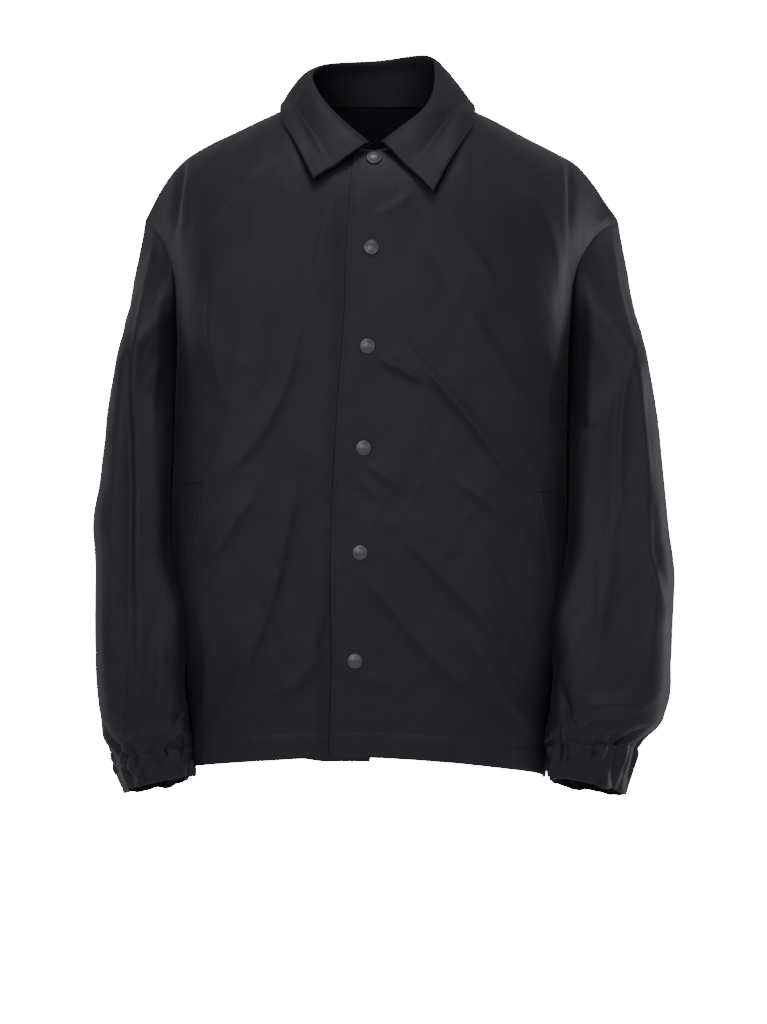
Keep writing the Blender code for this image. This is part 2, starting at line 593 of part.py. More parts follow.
def leaned(ring, z, outer, inner, front, rear):
    """A sleeve's ring with the inner front of its cloth hanging forward of the body's side: moved towards the body
    by up to 18 mm below the elbow."""
    middle, half = (outer + inner) / 2, np.abs(outer - inner) / 2
    toward = np.sign(inner - outer)
    in_share = (ring[:, 0] - middle) * toward / half
    forward = ((front + rear) / 2 - ring[:, 1]) / ((rear - front) / 2)
    low = smooth(-z, 0.36, 0.46) * (1 - smooth(-z, 0.61, 0.655))
    shift = 0.018 * low * smooth(forward, 0.25, 0.80) * smooth(in_share, -0.3, 0.5)
    return ring + np.stack([shift * toward, 0 * shift], axis=-1)


def sleeve(loop, table, folds, cuff, top):
    share = np.arange(SLEEVE_COLS) / SLEEVE_COLS
    # more columns where the cloth turns at the front and back
    share_round = share + 0.018 * np.sin(4 * math.pi * share)
    cuff_z, _, rise_x, rise_y = cuff[:4]
    ends = tube_point(share_round, *top)
    middle = ends.mean(axis=0)
    z_end = cuff_z + rise_x * (ends[:, 0] - middle[0]) + rise_y * (ends[:, 1] - middle[1])
    grid = np.zeros((SLEEVE_ROWS + 1, SLEEVE_COLS, 3))
    steps = np.linspace(0, 1, SLEEVE_ROWS + 1)
    steps = steps + 0.05 * np.sin(math.pi * steps) * steps
    for r, step in enumerate(steps):
        z = loop[:, 2] + (z_end - loop[:, 2]) * step
        sizes = [read(table, z, k) for k in (1, 2, 3, 4)]
        ring = leaned(tube_point(share_round, *sizes), z, *sizes)
        start = tube_point(share_round, *(read(table, loop[:, 2], k) for k in (1, 2, 3, 4)))
        near = (1 - smooth(step, 0.0, 0.20)) * (1 - 0.3 * smooth(step, 0, 0.1))
        near = 1.0 if r == 0 else near
        flat = ring + (loop[:, :2] - start) * near
        # close in to the cuff over the last rows
        close = smooth(step, 0.945, 1.0) * (r > 0)
        flat = flat + (ends - flat) * close
        grid[r] = np.concatenate([flat, z[:, None]], axis=1)
    across = np.roll(grid, -1, axis=1) - np.roll(grid, 1, axis=1)
    out = unit(np.cross(across, np.gradient(grid, axis=0)))
    away = grid[..., :2] - grid[..., :2].mean(axis=1, keepdims=True)
    sign = np.sign(np.sum(out[..., :2] * away, axis=(1, 2)))
    out = out * sign[:, None, None]
    shares = np.broadcast_to(share, grid.shape[:2])
    round_about = 0.46
    total = np.zeros(grid.shape[:2])
    for a0, z0, a1, z1, wide, high in folds:
        for turn in (-1, 0, 1):
            fold = ((a0 + turn) * round_about, z0, (a1 + turn) * round_about, z1, wide, high)
            total += ridge(shares * round_about, grid[..., 2], fold)
    keep = smooth(steps, 0.0, 0.10) * (1 - smooth(steps, 0.93, 1.0))
    inside = 1 - 0.85 * np.exp(-(((shares - 0.5) / 0.13) ** 2))
    total = total * keep[:, None] * inside
    wave = np.cos(2 * math.pi * GATHERS * shares)
    gather = smooth(steps, 0.78, 0.97)
    total += gather[:, None] * wave * 0.0024 * (1 - 0.5 * smooth(steps, 0.96, 1.0))[:, None]
    return grid + out * total[..., None]


def tube_out(grid):
    across = np.roll(grid, -1, axis=1) - np.roll(grid, 1, axis=1)
    out = unit(np.cross(across, np.gradient(grid, axis=0)))
    away = grid[..., :2] - grid[..., :2].mean(axis=1, keepdims=True)
    sign = np.sign(np.sum(out[..., :2] * away, axis=(1, 2)))
    return out * sign[:, None, None]


for side, table, folds, cuff, top in (
    ("right", SLEEVE_LEFT, SLEEVE_LEFT_FOLDS, CUFF_LEFT, CUFF_TOP_LEFT),
    ("left", SLEEVE_RIGHT, SLEEVE_RIGHT_FOLDS, CUFF_RIGHT, CUFF_TOP_RIGHT),
):
    loop, loop_out = loops[side]
    arm_grid = sleeve(loop, table, folds, cuff, top)
    arm_grid[0] = loop
    share = np.arange(SLEEVE_COLS) / SLEEVE_COLS
    share_round = share + 0.018 * np.sin(4 * math.pi * share)
    wave = np.cos(2 * math.pi * GATHERS * share)
    # the casing hangs from the sleeve's last ring
    cuff_top_z, cuff_low_z, rise_x, rise_y = cuff[:4]
    lower = tube_point(share_round, *cuff[4:])
    middle = lower.mean(axis=0)
    low_z = cuff_low_z + rise_x * (lower[:, 0] - middle[0]) + rise_y * (lower[:, 1] - middle[1])
    casing = np.zeros((4, SLEEVE_COLS, 3))
    for r, step in enumerate((0.0, 0.3, 0.7, 1.0)):
        flat = arm_grid[-1][:, :2] * (1 - step) + lower * step
        z = arm_grid[-1][:, 2] * (1 - step) + low_z * step
        casing[r] = np.concatenate([flat, z[:, None]], axis=1)
    casing_out = tube_out(casing)
    puff = np.array((0.0, 0.0022, 0.0022, 0.0))[:, None] + np.array((0.0, 0.0006, 0.0010, 0.0012))[:, None] * wave
    casing = casing + casing_out * puff[..., None]
    sleeve_out = tube_out(arm_grid)
    casing_out = tube_out(casing)
    both = unit(sleeve_out[-1] + casing_out[0])
    sleeve_out[-1] = both
    casing_out[0] = both
    sleeve_out[0] = loop_out
    sign = 1.0 if side == "left" else -1.0
    closed_loop = np.concatenate([loop[-1:], loop, loop[:1]])
    closed_out = np.concatenate([loop_out[-1:], loop_out, loop_out[:1]])
    toward = np.array((sign, 0.0, 0.0))
    arm_grid[0] += apart(closed_loop, closed_out, toward)[1:-1]
    arm_grid[-1] += (0.0, 0.0, GAP)
    casing[0] += (0.0, 0.0, -GAP)
    last = SLEEVE_COLS - 1
    for level_name, first_row, last_row in (("upper", 0, ELBOW_ROW), ("lower", ELBOW_ROW, SLEEVE_ROWS)):
        stretch = portion(arm_grid, first_row, last_row, 0, last)
        wall("sleeve_" + side + "_" + level_name, stretch, sleeve_out[first_row : last_row + 1], True, CLOTH)
    wall("cuff_" + side, casing, casing_out, True, CLOTH, 0.0018)

# Collar: the seen face runs up the stand inside the neck, over the roll and down the leaf
neck_left = grids["front_right"][0, 1 : NECK_COLS + 3]
neck_back = grids["back"][0, SHOULDER_COLS : SHOULDER_COLS + 2 * NECK_COLS + 1]
neck_right = grids["front_left"][0, 1 : NECK_COLS + 3]
neck_line = np.concatenate([neck_left, neck_back[1:-1], neck_right[::-1]])
half = np.zeros((2 * len(neck_line) - 1, 3))
half[::2] = neck_line
half[1::2] = (neck_line[:-1] + neck_line[1:]) / 2
ends_share = np.concatenate([np.linspace(-1, -0.47, NECK_COLS + 2), np.linspace(-0.47, 0.47, 2 * NECK_COLS + 1)[1:-1],
                             np.linspace(0.47, 1, NECK_COLS + 2)])
half_share = np.zeros(len(half))
half_share[::2] = ends_share
half_share[1::2] = (ends_share[:-1] + ends_share[1:]) / 2
half[:, 2] += 0.0012 + 0.0018 * smooth(-half_share, 0.62, 0.80)
# the ends stop just short of the snap line
half[0, 0] -= 0.0035
half[-1, 0] += 0.0065
roll = np.stack([read(COLLAR, half_share, k) for k in (1, 2, 3)], axis=1)
leaf = np.stack([read(COLLAR, half_share, k) for k in (4, 5, 6)], axis=1)
away = half - (0.0, 0.0, 0.0)
away[:, 2] = 0.0
away = unit(away)
rows = []
for step in (0.0, 0.35, 0.7):
    rows.append(half + (roll - half) * step - away * 0.0012 * step)
rows.append(roll - away * 0.0022 - (0.0, 0.0, 0.0030))
rows.append(roll)
for step, swell in ((0.10, 0.0040), (0.30, 0.0052), (0.55, 0.0048), (0.80, 0.0026), (1.0, 0.0)):
    rows.append(roll + (leaf - roll) * step + away * swell + np.array((0, 0, 1.0)) * swell * 0.4)
collar_grid = np.array(rows)
# the leaf rests a little off the fronts, the shoulders and the back
host_points, host_out = [], []
for name in ("front_right", "front_left", "back"):
    upper = slice(0, ARM_ROWS + 2)
    for a in np.linspace(0, 1, 5)[:-1]:
        for b in np.linspace(0, 1, 5)[:-1]:
            for grid, store in ((grids[name][upper], host_points), (body_out[name][upper], host_out)):
                mixed = ((1 - a) * (1 - b) * grid[:-1, :-1] + (1 - a) * b * grid[:-1, 1:]
                         + a * (1 - b) * grid[1:, :-1] + a * b * grid[1:, 1:])
                store.append(mixed.reshape(-1, 3))
host_points = np.concatenate(host_points)
host_out = unit(np.concatenate(host_out))
for _ in range(3):
    for r in range(5, len(collar_grid)):
        clear = 0.0052 if r < len(collar_grid) - 1 else 0.0047
        gap = collar_grid[r][:, None, :] - host_points[None, :, :]
        nearest = np.argmin(np.sum(gap**2, axis=2), axis=1)
        height = np.sum((collar_grid[r] - host_points[nearest]) * host_out[nearest], axis=1)
        short = np.maximum(clear - height, 0.0)
        short = np.maximum(short, (np.roll(short, 1) + np.roll(short, -1)) / 2)
        collar_grid[r] = collar_grid[r] + host_out[nearest] * short[:, None]
collar_out = normals(collar_grid, (0.0, 0.0, 1.0))
sign = np.sign(np.sum(collar_out[6] * away))
collar_out = collar_out * sign
wall("collar", collar_grid, collar_out, False, CLOTH, 0.0016)


def find(grid, x, z, front=True):
    """Grid position of the panel's point seen at x, z from the front."""
    best = None
    rows, cols = grid.shape[:2]
    for r in np.arange(0, rows - 1, 0.1):
        for c in np.arange(0, cols - 1, 0.1):
            point = at(grid, r, c)
            miss = (point[0] - x) ** 2 + (point[2] - z) ** 2
            if best is None or miss < best[0]:
                best = (miss, r, c)
    return best[1], best[2]


def at(grid, r, c):
    """Point or direction at a place between the grid's rows and columns."""
    rows, cols = grid.shape[:2]
    i, j = min(int(r), rows - 2), min(int(c), cols - 2)
    a, b = r - i, c - j
    return ((1 - a) * (1 - b) * grid[i, j] + (1 - a) * b * grid[i, j + 1]
            + a * (1 - b) * grid[i + 1, j] + a * b * grid[i + 1, j + 1])


# Welts follow their panel, just clear of it
for name, host, corners in (
    ("pocket_welt_left", "front_left", WELT_LEFT),
    ("pocket_welt_right", "front_right", WELT_RIGHT),
):
    grid, out = final[host], body_out[host]
    spots = np.array([find(grid, *corner) for corner in corners])
    welt = np.zeros((15, 4, 3))
    welt_out = np.zeros((15, 4, 3))
    for r in range(15):
        for c in range(4):
            a, b = r / 14, c / 3
            place = (spots[0] * (1 - a) * (1 - b) + spots[1] * (1 - a) * b + spots[2] * a * (1 - b) + spots[3] * a * b)
            welt_out[r, c] = unit(at(out, *place))
            welt[r, c] = at(grid, *place) + welt_out[r, c] * 0.0037
    wall(name, welt, welt_out, False, CLOTH, 0.0018)

# Snap caps, turned
for number, z in enumerate(SNAP_Z, 1):
    grid, out = final["front_left"], body_out["front_left"]
    r, c = find(grid, float(read(SNAP_LINE, z, 1)), z)
    axis = unit(at(out, r, c))
    centre = at(grid, r, c)
    side = unit(np.cross((0.0, 0.0, 1.0), axis))
    up = np.cross(axis, side)
    # stand off the highest cloth under the cap
    near = [at(grid, a, b) for a in np.arange(max(r - 1.2, 0), r + 1.2, 0.15) for b in np.arange(0, c + 1.4, 0.1)]
    near = np.array(near) - centre
    flat = np.hypot(near @ side, near @ up) < SNAP_RADIUS + 0.0006
    lift = float((near @ axis)[flat].max()) + 0.00035
    centre = centre + axis * lift
    profile = ((0.0, 0.0), (0.0062, 0.0), (0.0074, 0.0006), (0.0075, 0.0012), (0.0069, 0.0017), (0.0058, 0.0019),
               (0.0046, 0.0028), (0.0026, 0.0033), (0.0, 0.0035))
    turns = 12
    points, faces = [centre], []
    for radius, height in profile[1:-1]:
        for k in range(turns):
            angle = 2 * math.pi * k / turns
            points.append(centre + side * radius * math.cos(angle) + up * radius * math.sin(angle) + axis * height)
    points.append(centre + axis * profile[-1][1])
    count = len(profile) - 2
    for k in range(turns):
        n = (k + 1) % turns
        faces.append((0, 1 + n, 1 + k))
        for ring in range(count - 1):
            a, b = 1 + ring * turns, 1 + (ring + 1) * turns
            faces += [(a + k, a + n, b + n), (a + k, b + n, b + k)]
        a = 1 + (count - 1) * turns
        faces.append((a + k, a + n, len(points) - 1))
    points, faces = np.array(points), np.array(faces)
    if np.linalg.det(points[faces] - centre - axis * 0.001).sum() < 0:
        faces = faces[:, ::-1]
    solid(f"snap_{number}", points, faces, METAL)
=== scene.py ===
# Coach jacket in black woven cloth, in the form it holds when worn: a collar, a front closed with snaps,
# slanted welt pockets, gathered cuffs.
# Metres. +X is picture right (the wearer's left), -Y is the front, +Z up, origin at the base of the neck.
import math

import bpy
import numpy as np
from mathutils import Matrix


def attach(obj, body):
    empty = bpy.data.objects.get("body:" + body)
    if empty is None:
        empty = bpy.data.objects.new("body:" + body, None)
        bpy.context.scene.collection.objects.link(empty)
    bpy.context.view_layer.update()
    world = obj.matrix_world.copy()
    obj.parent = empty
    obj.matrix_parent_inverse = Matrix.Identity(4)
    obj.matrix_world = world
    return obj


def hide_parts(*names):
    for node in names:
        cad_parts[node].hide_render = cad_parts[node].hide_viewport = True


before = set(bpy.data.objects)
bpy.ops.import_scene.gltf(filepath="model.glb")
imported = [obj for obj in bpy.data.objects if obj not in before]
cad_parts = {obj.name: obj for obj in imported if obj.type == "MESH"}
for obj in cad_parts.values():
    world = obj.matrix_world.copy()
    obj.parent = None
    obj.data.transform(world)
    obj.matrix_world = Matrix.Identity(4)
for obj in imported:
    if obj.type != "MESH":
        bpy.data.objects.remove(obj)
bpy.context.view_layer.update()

# The back
# One panel of plain-woven nylon from the shoulder seams and the back neck down to the hem. It hangs from the
# shoulders, is sewn to the fronts at the sides and to the sleeves round the armholes. Its hem is turned up.

# Body the cloth hangs on, at each height: middle x, half width, front y, back y, squareness of both halves
BODY = (
    (-0.20, -0.0040, 0.2000, -0.130, 0.126, 4.4, 2.9),
    (-0.335, -0.0070, 0.1990, -0.131, 0.130, 5.4, 3.5),
    (-0.45, -0.0095, 0.1995, -0.130, 0.133, 5.6, 3.7),
    (-0.53, -0.0105, 0.1975, -0.128, 0.134, 4.8, 3.7),
    (-0.60, -0.0110, 0.1915, -0.125, 0.1335, 3.6, 3.5),
    (-0.68, -0.0095, 0.1785, -0.121, 0.132, 3.3, 3.3),
)
# Line of the snaps: height, x
SNAP_LINE = ((-0.04, -0.0035), (-0.15, -0.0063), (-0.245, -0.0101), (-0.345, -0.0140), (-0.448, -0.0175),
             (-0.555, -0.0225), (-0.68, -0.0280))
# Hem height by share of the way from the middle (0) to each side seam (1)
HEM_BACK = ((-1.0, -0.671), (0.0, -0.668), (0.85, -0.6745), (1.0, -0.6785))
HEM_FRONT = (
    (-1.0, -0.671), (-0.7, -0.662), (-0.35, -0.654), (0.0, -0.6500), (0.35, -0.6555), (0.7, -0.668),
    (0.85, -0.6745), (1.0, -0.6785),
)
# Neck edge out to the shoulder point, then the shoulder line out to the dropped tip: x, y, z in mm
BACK_NECK = np.array((
    (0, 76, 17.5), (34, 70, 17), (62, 52, 15), (79, 28, 12), (85, 2, 7),
)) / 1000
FRONT_NECK = np.array((
    (0, -83.5, -47), (30, -76, -39.5), (60, -52, -22), (78, -25, -4), (85, 2, 7),
)) / 1000
SHOULDER_RIGHT = np.array((
    (85, 2, 7), (120, 4, -9), (151, 5, -25.5), (182, 5, -41),
    (203, 4, -53), (219, 3, -70), (233, 1, -91), (245, 0, -109),
)) / 1000
SHOULDER_LEFT = np.array((
    (-85, 2, 7), (-115, 4, -6), (-142.5, 5, -19), (-174, 5, -34),
    (-197, 4, -48), (-212.5, 3, -64), (-225.5, 1, -84), (-237.5, 0, -109),
)) / 1000
CHEST = -0.20  # below this height the cloth hangs straight
ARMPIT = -0.335
PRESSED_IN = 0.008  # how far the arms press the sides in
HEM_SIDE = -0.664  # height on the body that the hem's ends are read at
HEM_EASE = 0.93  # below 1, the rows lie a little closer towards the hem
NECK_LEAN = {"front": 56.0, "back": 62.0}  # degrees a panel turns from the neck down to the chest
SHOULDER_LEAN = 88.0
TIP_EASE = 14.0  # and how much less at the shoulder's tip
ARMHOLE_Y = {"front": -0.058, "back": 0.064}
NECK_SHARE = 0.38  # share of a top line that is neck
CLOTH_THICK = 0.0011
HEM_DEEP = 0.025  # turned-up hem
SEAM_HALF = -0.0002  # each piece's edge from the middle of a seam; below nought they overlap

ARM_ROWS = 60  # shoulder to chest
PIT_ROWS = 66  # chest to armpit
HEM_ROWS = 126  # armpit to hem
ARM = ARM_ROWS + PIT_ROWS
# the last rows close up so that the hem's edge can round off
HEM_SHARES = np.concatenate([
    np.linspace(0.0, 1.0, HEM_ROWS + 1)[:-1],
    1.0 - np.array((0.0040, 0.0022, 0.0012, 0.0005, 0.0)),
])
DENSE = np.linspace(-1.0, 1.0, 801)
LEVEL_POINTS = 1601
FAR = 9.0  # farther than any two places on the garment


def smooth(value, low, high):
    """0 below low, 1 above high, an even curve between."""
    share = np.clip((np.asarray(value, float) - low) / (high - low), 0.0, 1.0)
    return share * share * (3.0 - 2.0 * share)


def cubic(y, slope, i, s, step=1.0):
    """A cubic from y[i] to y[i + 1] with these slopes, at share s of the step between them."""
    start = (1 + 2 * s) * (1 - s) ** 2 * y[i] + s * (1 - s) ** 2 * step * slope[i]
    return start + s * s * (3 - 2 * s) * y[i + 1] + s * s * (s - 1) * step * slope[i + 1]


def read(table, at, column):
    """A smooth line through one column of a table, found by its first column: a cubic between rows."""
    rows = np.array(sorted(tuple(float(v) for v in row) for row in table))
    x, y = rows[:, 0], rows[:, column]
    slope = np.gradient(y, x)
    at = np.clip(np.asarray(at, float), x[0], x[-1])
    i = np.clip(np.searchsorted(x, at) - 1, 0, len(x) - 2)
    step = x[i + 1] - x[i]
    return cubic(y, slope, i, (at - x[i]) / step, step)


def lengths(points):
    """Length along a line at each of its points."""
    steps = np.linalg.norm(np.diff(points, axis=0), axis=1)
    return np.concatenate([[0.0], np.cumsum(steps)])


def placed_at(at, along, points):
    """Points or directions of a line at places given by along."""
    return np.stack([np.interp(at, along, points[:, k]) for k in range(points.shape[1])], axis=-1)


def spaced(points, shares):
    """Points at the given shares of a line's length."""
    points = np.asarray(points, float)
    along = lengths(points)
    return placed_at(np.asarray(shares, float) * along[-1], along, points)


def curve(points, count=401):
    """A smooth, evenly spaced line through a few points."""
    points = np.asarray(points, float)
    along = lengths(points)
    rows = [(along[i], *points[i]) for i in range(len(points))]
    at = np.linspace(0.0, along[-1], count)
    dense = np.stack([read(rows, at, k + 1) for k in range(points.shape[1])], axis=1)
    return spaced(dense, np.linspace(0, 1, count))


def unit(vectors):
    """Each vector divided by its length."""
    return vectors / np.maximum(np.linalg.norm(vectors, axis=-1, keepdims=True), 1e-12)


def ring_point(angle, z, side):
    """Point of a squared-off oval at an angle from the middle: x from the sine, y from the cosine."""
    middle, half = read(BODY, z, 1), read(BODY, z, 2)
    depth, square = (read(BODY, z, k) for k in ((3, 5) if side == "front" else (4, 6)))
    s, c = np.sin(angle), np.cos(angle)
    x = middle + half * np.sign(s) * np.abs(s) ** (2 / square)
    y = depth * np.abs(c) ** (2 / square)
    # the arms press the cloth's sides in behind its front corners
    press = PRESSED_IN * smooth(-z, 0.20, 0.28) * (1 - smooth(-z, 0.50, 0.58))
    x = x - np.sign(s) * press * smooth(y, -0.088, -0.055) * (1 - smooth(y, 0.055, 0.100))
    return np.stack([x, y, np.broadcast_to(z, x.shape)], axis=-1)


def level(z_edge, z_middle, edge_y, side):
    """One row below the chest, a stretch of the oval whose ends lie at edge_y, from picture left to right."""
    depth = float(read(BODY, z_edge, 3 if side == "front" else 4))
    square = float(read(BODY, z_edge, 5 if side == "front" else 6))
    end = math.acos(min(1.0, max(0.0, edge_y / depth)) ** (square / 2))
    angle = end * np.sin(np.linspace(-math.pi / 2, math.pi / 2, LEVEL_POINTS))
    line = ring_point(angle, np.full(LEVEL_POINTS, z_edge), side)
    middle_x = float(read(SNAP_LINE, z_edge, 1)) if side == "front" else 0.0
    along = lengths(line)
    zero = np.interp(middle_x, line[:, 0], along)
    share = np.where(along < zero, (along - zero) / zero, (along - zero) / (along[-1] - zero))
    angle = np.interp(DENSE, share, angle)
    if np.ndim(z_middle) == 0:
        z_middle = z_middle + (z_edge - z_middle) * smooth(np.abs(DENSE), 0.45, 1.0)
    return ring_point(angle, z_middle, side)


def top_line(side):
    """Neck edge and both shoulder lines, from the picture-left tip to the picture-right tip."""
    right_neck = curve(FRONT_NECK if side == "front" else BACK_NECK)
    left_neck = right_neck * (-1, 1, 1)
    if side == "front":
        shift = (-0.0035 * smooth(-right_neck[:, 2], 0.0, 0.045))[:, None] * (1, 0, 0)
        right_neck = right_neck + shift
        left_neck = left_neck + shift
    share = np.abs(DENSE)
    out = np.zeros((len(DENSE), 3))
    for sign, inner, outer in ((-1, left_neck, curve(SHOULDER_LEFT)), (1, right_neck, curve(SHOULDER_RIGHT))):
        mine = DENSE * sign >= 0
        on_neck = mine & (share <= NECK_SHARE)
        on_shoulder = mine & (share > NECK_SHARE)
        out[on_neck] = spaced(inner, share[on_neck] / NECK_SHARE)
        out[on_shoulder] = spaced(outer, (share[on_shoulder] - NECK_SHARE) / (1 - NECK_SHARE))
    return out


def dense_rows(side):
    """Every row of a side. Above the chest it swings from the top line to the chest row along part of an
    oval; to the armpit its ends close in round the armhole; below that it hangs to the hem."""
    edge = ARMHOLE_Y[side]
    top = top_line(side)
    chest = level(CHEST, CHEST, edge, side)
    share = np.abs(DENSE)
    lean = NECK_LEAN[side] + (SHOULDER_LEAN - NECK_LEAN[side]) * smooth(share, 0.0, NECK_SHARE)
    lean = np.radians(lean - TIP_EASE * smooth(share, 0.75, 1.0))
    rows = []
    for k in range(ARM_ROWS):
        angle = lean * (1 - k / ARM_ROWS)
        across = (1 - np.cos(angle)) / (1 - np.cos(lean))
        up = np.sin(angle) / np.sin(lean)
        rows.append(chest + (top - chest) * np.stack([across, across, up], axis=1))
    for k in range(PIT_ROWS):
        turn = math.pi / 2 * k / PIT_ROWS
        z_edge = CHEST + (ARMPIT - CHEST) * math.sin(turn)
        z_middle = CHEST + (ARMPIT - CHEST) * k / PIT_ROWS
        rows.append(level(z_edge, z_middle, edge * math.cos(turn), side))
    hem = read(HEM_FRONT if side == "front" else HEM_BACK, DENSE, 1)
    for share_down in HEM_SHARES:
        eased = share_down**HEM_EASE
        z = ARMPIT + (hem - ARMPIT) * eased
        rows.append(level(float(ARMPIT + (HEM_SIDE - ARMPIT) * eased), z, 0.0, side))
    return rows


def along_row(row, shares):
    """Points of a row at shares of its length, counted from the middle line (0) to either end (-1, 1)."""
    along = lengths(row)
    zero = np.interp(0.0, DENSE, along)
    shares = np.asarray(shares, float)
    at = np.where(shares < 0, zero + shares * zero, zero + shares * (along[-1] - zero))
    return placed_at(at, along, row)


def half_widths(row):
    """Length of a row to the left and to the right of its middle line, and of the neck part of each."""
    along = lengths(row)
    zero = np.interp(0.0, DENSE, along)
    neck_left = zero - np.interp(-NECK_SHARE, DENSE, along)
    neck_right = np.interp(NECK_SHARE, DENSE, along) - zero
    return {-1: zero, 1: along[-1] - zero}, {-1: neck_left, 1: neck_right}


def facing_out(grid, outward):
    """Direction out of a grid's surface at each point, from its neighbours."""
    found = unit(np.cross(np.gradient(grid, axis=1), np.gradient(grid, axis=0)))
    middle = found[grid.shape[0] // 2, grid.shape[1] // 2]
    return found * (1.0 if np.dot(middle, outward) > 0 else -1.0)


def rough(u, v, seed):
    """Smooth hills of -1 to 1, about one to each unit square: random heights at whole numbers, eased between
    by a^3 (6 a^2 - 15 a + 10). The heights repeat after 97."""
    again = 97
    heights = np.random.default_rng(seed).uniform(-1, 1, (again, again))
    i, j = np.floor(u).astype(int), np.floor(v).astype(int)
    a, b = (part**3 * (part * (part * 6 - 15) + 10) for part in (u - i, v - j))
    i, j, k, n = i % again, j % again, (i + 1) % again, (j + 1) % again
    near = (1 - a) * heights[i, j] + a * heights[k, j]
    far = (1 - a) * heights[i, n] + a * heights[k, n]
    return (1 - b) * near + b * far


def soft_folds(u, v, seed, apart, long, lean):
    """Soft folds that lean: narrow crests and wide hollows, apart metres across and long metres down. The
    height is 0.75 - 1.5 sqrt(hill^2 + 0.012), with hills of -1 to 1."""
    c, s = math.cos(lean), math.sin(lean)
    bend = 0.55 * rough(u / 0.085, v / 0.11, seed + 1)
    hill = rough((u * c + v * s) / apart + bend, (v * c - u * s) / long, seed)
    return 0.75 - 1.5 * np.sqrt(hill * hill + 0.012)


def crumple(u, v, seed):
    """Fine creasing of pressed nylon: short crests in four directions, each showing in its own patches."""
    total = 0.0
    for k, lean in enumerate((0.35, 1.15, -0.5, -1.25)):
        patch = smooth(rough(u / 0.06, v / 0.06, seed + 10 + k), -0.1, 0.7)
        total = total + patch * soft_folds(u, v, seed + 20 + k, 0.013, 0.055, lean)
    return total


def placed_folds(a, b, table, blunt_mm=3.0):
    """Height of a table of folds at places (a, b). Each row holds half width and height in mm, which side is
    steeper, and the fold's line in mm. Across the line it falls off as exp(-1.3 x distance / width), rounded
    over blunt_mm at the crest; a wider, shallower hollow lies on both sides; both ends taper."""
    total = np.zeros(np.shape(a))
    for wide, high, steep, *line in table:
        line = curve(np.array(line, float).reshape(-1, 2) / 1000, 15)
        nearest = np.full(np.shape(a), FAR)
        side, share = np.zeros(np.shape(a)), np.zeros(np.shape(a))
        for k in range(len(line) - 1):
            step = line[k + 1] - line[k]
            t = ((a - line[k, 0]) * step[0] + (b - line[k, 1]) * step[1]) / step.dot(step)
            held = np.clip(t, 0.0, 1.0)
            da, db = a - line[k, 0] - held * step[0], b - line[k, 1] - held * step[1]
            far = np.hypot(da, db)
            closer = far < nearest
            nearest = np.where(closer, far, nearest)
            side = np.where(closer, (step[1] * da - step[0] * db) / np.hypot(*step), side)
            share = np.where(closer, (k + held) / (len(line) - 1), share)
        lean = 1.0 - 0.45 * steep * np.clip(side / 0.0015, -1, 1)
        far = nearest / (wide / 1000 * lean)
        blunt = (blunt_mm / wide) ** 2
        taper = 0.25 + 0.75 * smooth(share, 0.0, 0.30) * (1 - smooth(share, 0.70, 1.0))
        crest = np.exp(-1.3 * (np.sqrt(far * far + blunt) - blunt**0.5))
        hollow = 0.30 * np.exp(-((nearest / (wide / 1000 * 2.8)) ** 2))
        total += high / 1000 * taper * (crest - hollow)
    return total


def measured(grid):
    """Distance across and down the cloth at each point of a grid, in metres."""
    across = np.cumsum(np.linalg.norm(np.diff(grid, axis=1), axis=2), axis=1)
    down = np.cumsum(np.linalg.norm(np.diff(grid, axis=0), axis=2), axis=0)
    return np.pad(across, ((0, 0), (1, 0))), np.pad(down, ((1, 0), (0, 0)))


def sunk(distance, deep=0.0013, wide=0.0026):
    """How far the cloth rolls in towards a seam: deepest at the seam, gone a few millimetres off."""
    return -deep * np.exp(-((distance / wide) ** 2))


def wound_out(points, faces):
    """A closed mesh's faces, turned over if they wind inwards: the sum of their corners' triple products has
    the sign of its volume."""
    first, *rest = (points[column] - points.mean(axis=0) for column in faces.T)
    size = sum(np.sum(np.cross(first, b) * c) for b, c in zip(rest, rest[1:]))
    return faces[:, ::-1] if size < 0 else faces


def shell(name, outer, out, cut, thick=CLOTH_THICK, around=False):
    """One closed wall of cloth: a grid, the same grid moved in by the thickness, and a rim joining them. The
    UV map is the place on the cloth in metres. cut is the material."""
    rows, cols = outer.shape[:2]
    inner = outer - out * thick
    points = np.concatenate([outer.reshape(-1, 3), inner.reshape(-1, 3)])
    base = rows * cols
    across, down = measured(outer)
    place = np.stack([across, down], axis=-1)
    r, c = np.meshgrid(np.arange(rows - 1), np.arange(cols if around else cols - 1), indexing="ij")
    d = (c + 1) % cols
    quads = np.stack([r * cols + c, r * cols + d, (r + 1) * cols + d, (r + 1) * cols + c], axis=-1)
    quads = quads.reshape(-1, 4)
    faces = [quads, quads[:, ::-1] + base]
    c, d = c[0], d[0]
    for row, turned in ((0, False), (rows - 1, True)):
        near, far = row * cols + c, row * cols + d
        rim = np.stack([near, near + base, far + base, far], axis=-1)
        faces.append(rim[:, ::-1] if turned else rim)
    if not around:
        i = np.arange(rows - 1) * cols
        for column, turned in ((0, True), (cols - 1, False)):
            edge = i + column
            rim = np.stack([edge, edge + base, edge + cols + base, edge + cols], axis=-1)
            faces.append(rim[:, ::-1] if turned else rim)
    faces = wound_out(points, np.concatenate(faces))
    corner = np.concatenate([place.reshape(-1, 2)] * 2)[faces]
    if around:
        span = across.max() + np.linalg.norm(outer[:, 0] - outer[:, -1], axis=1).mean()
        wrap = np.ptp(corner[..., 0], axis=1) > span / 2
        wrapped = corner[wrap]
        corner[wrap] = np.where(wrapped < [[[span / 2, -1]]], wrapped + [[[span, 0]]], wrapped)
    return solid(name, points, faces, corner, cut)


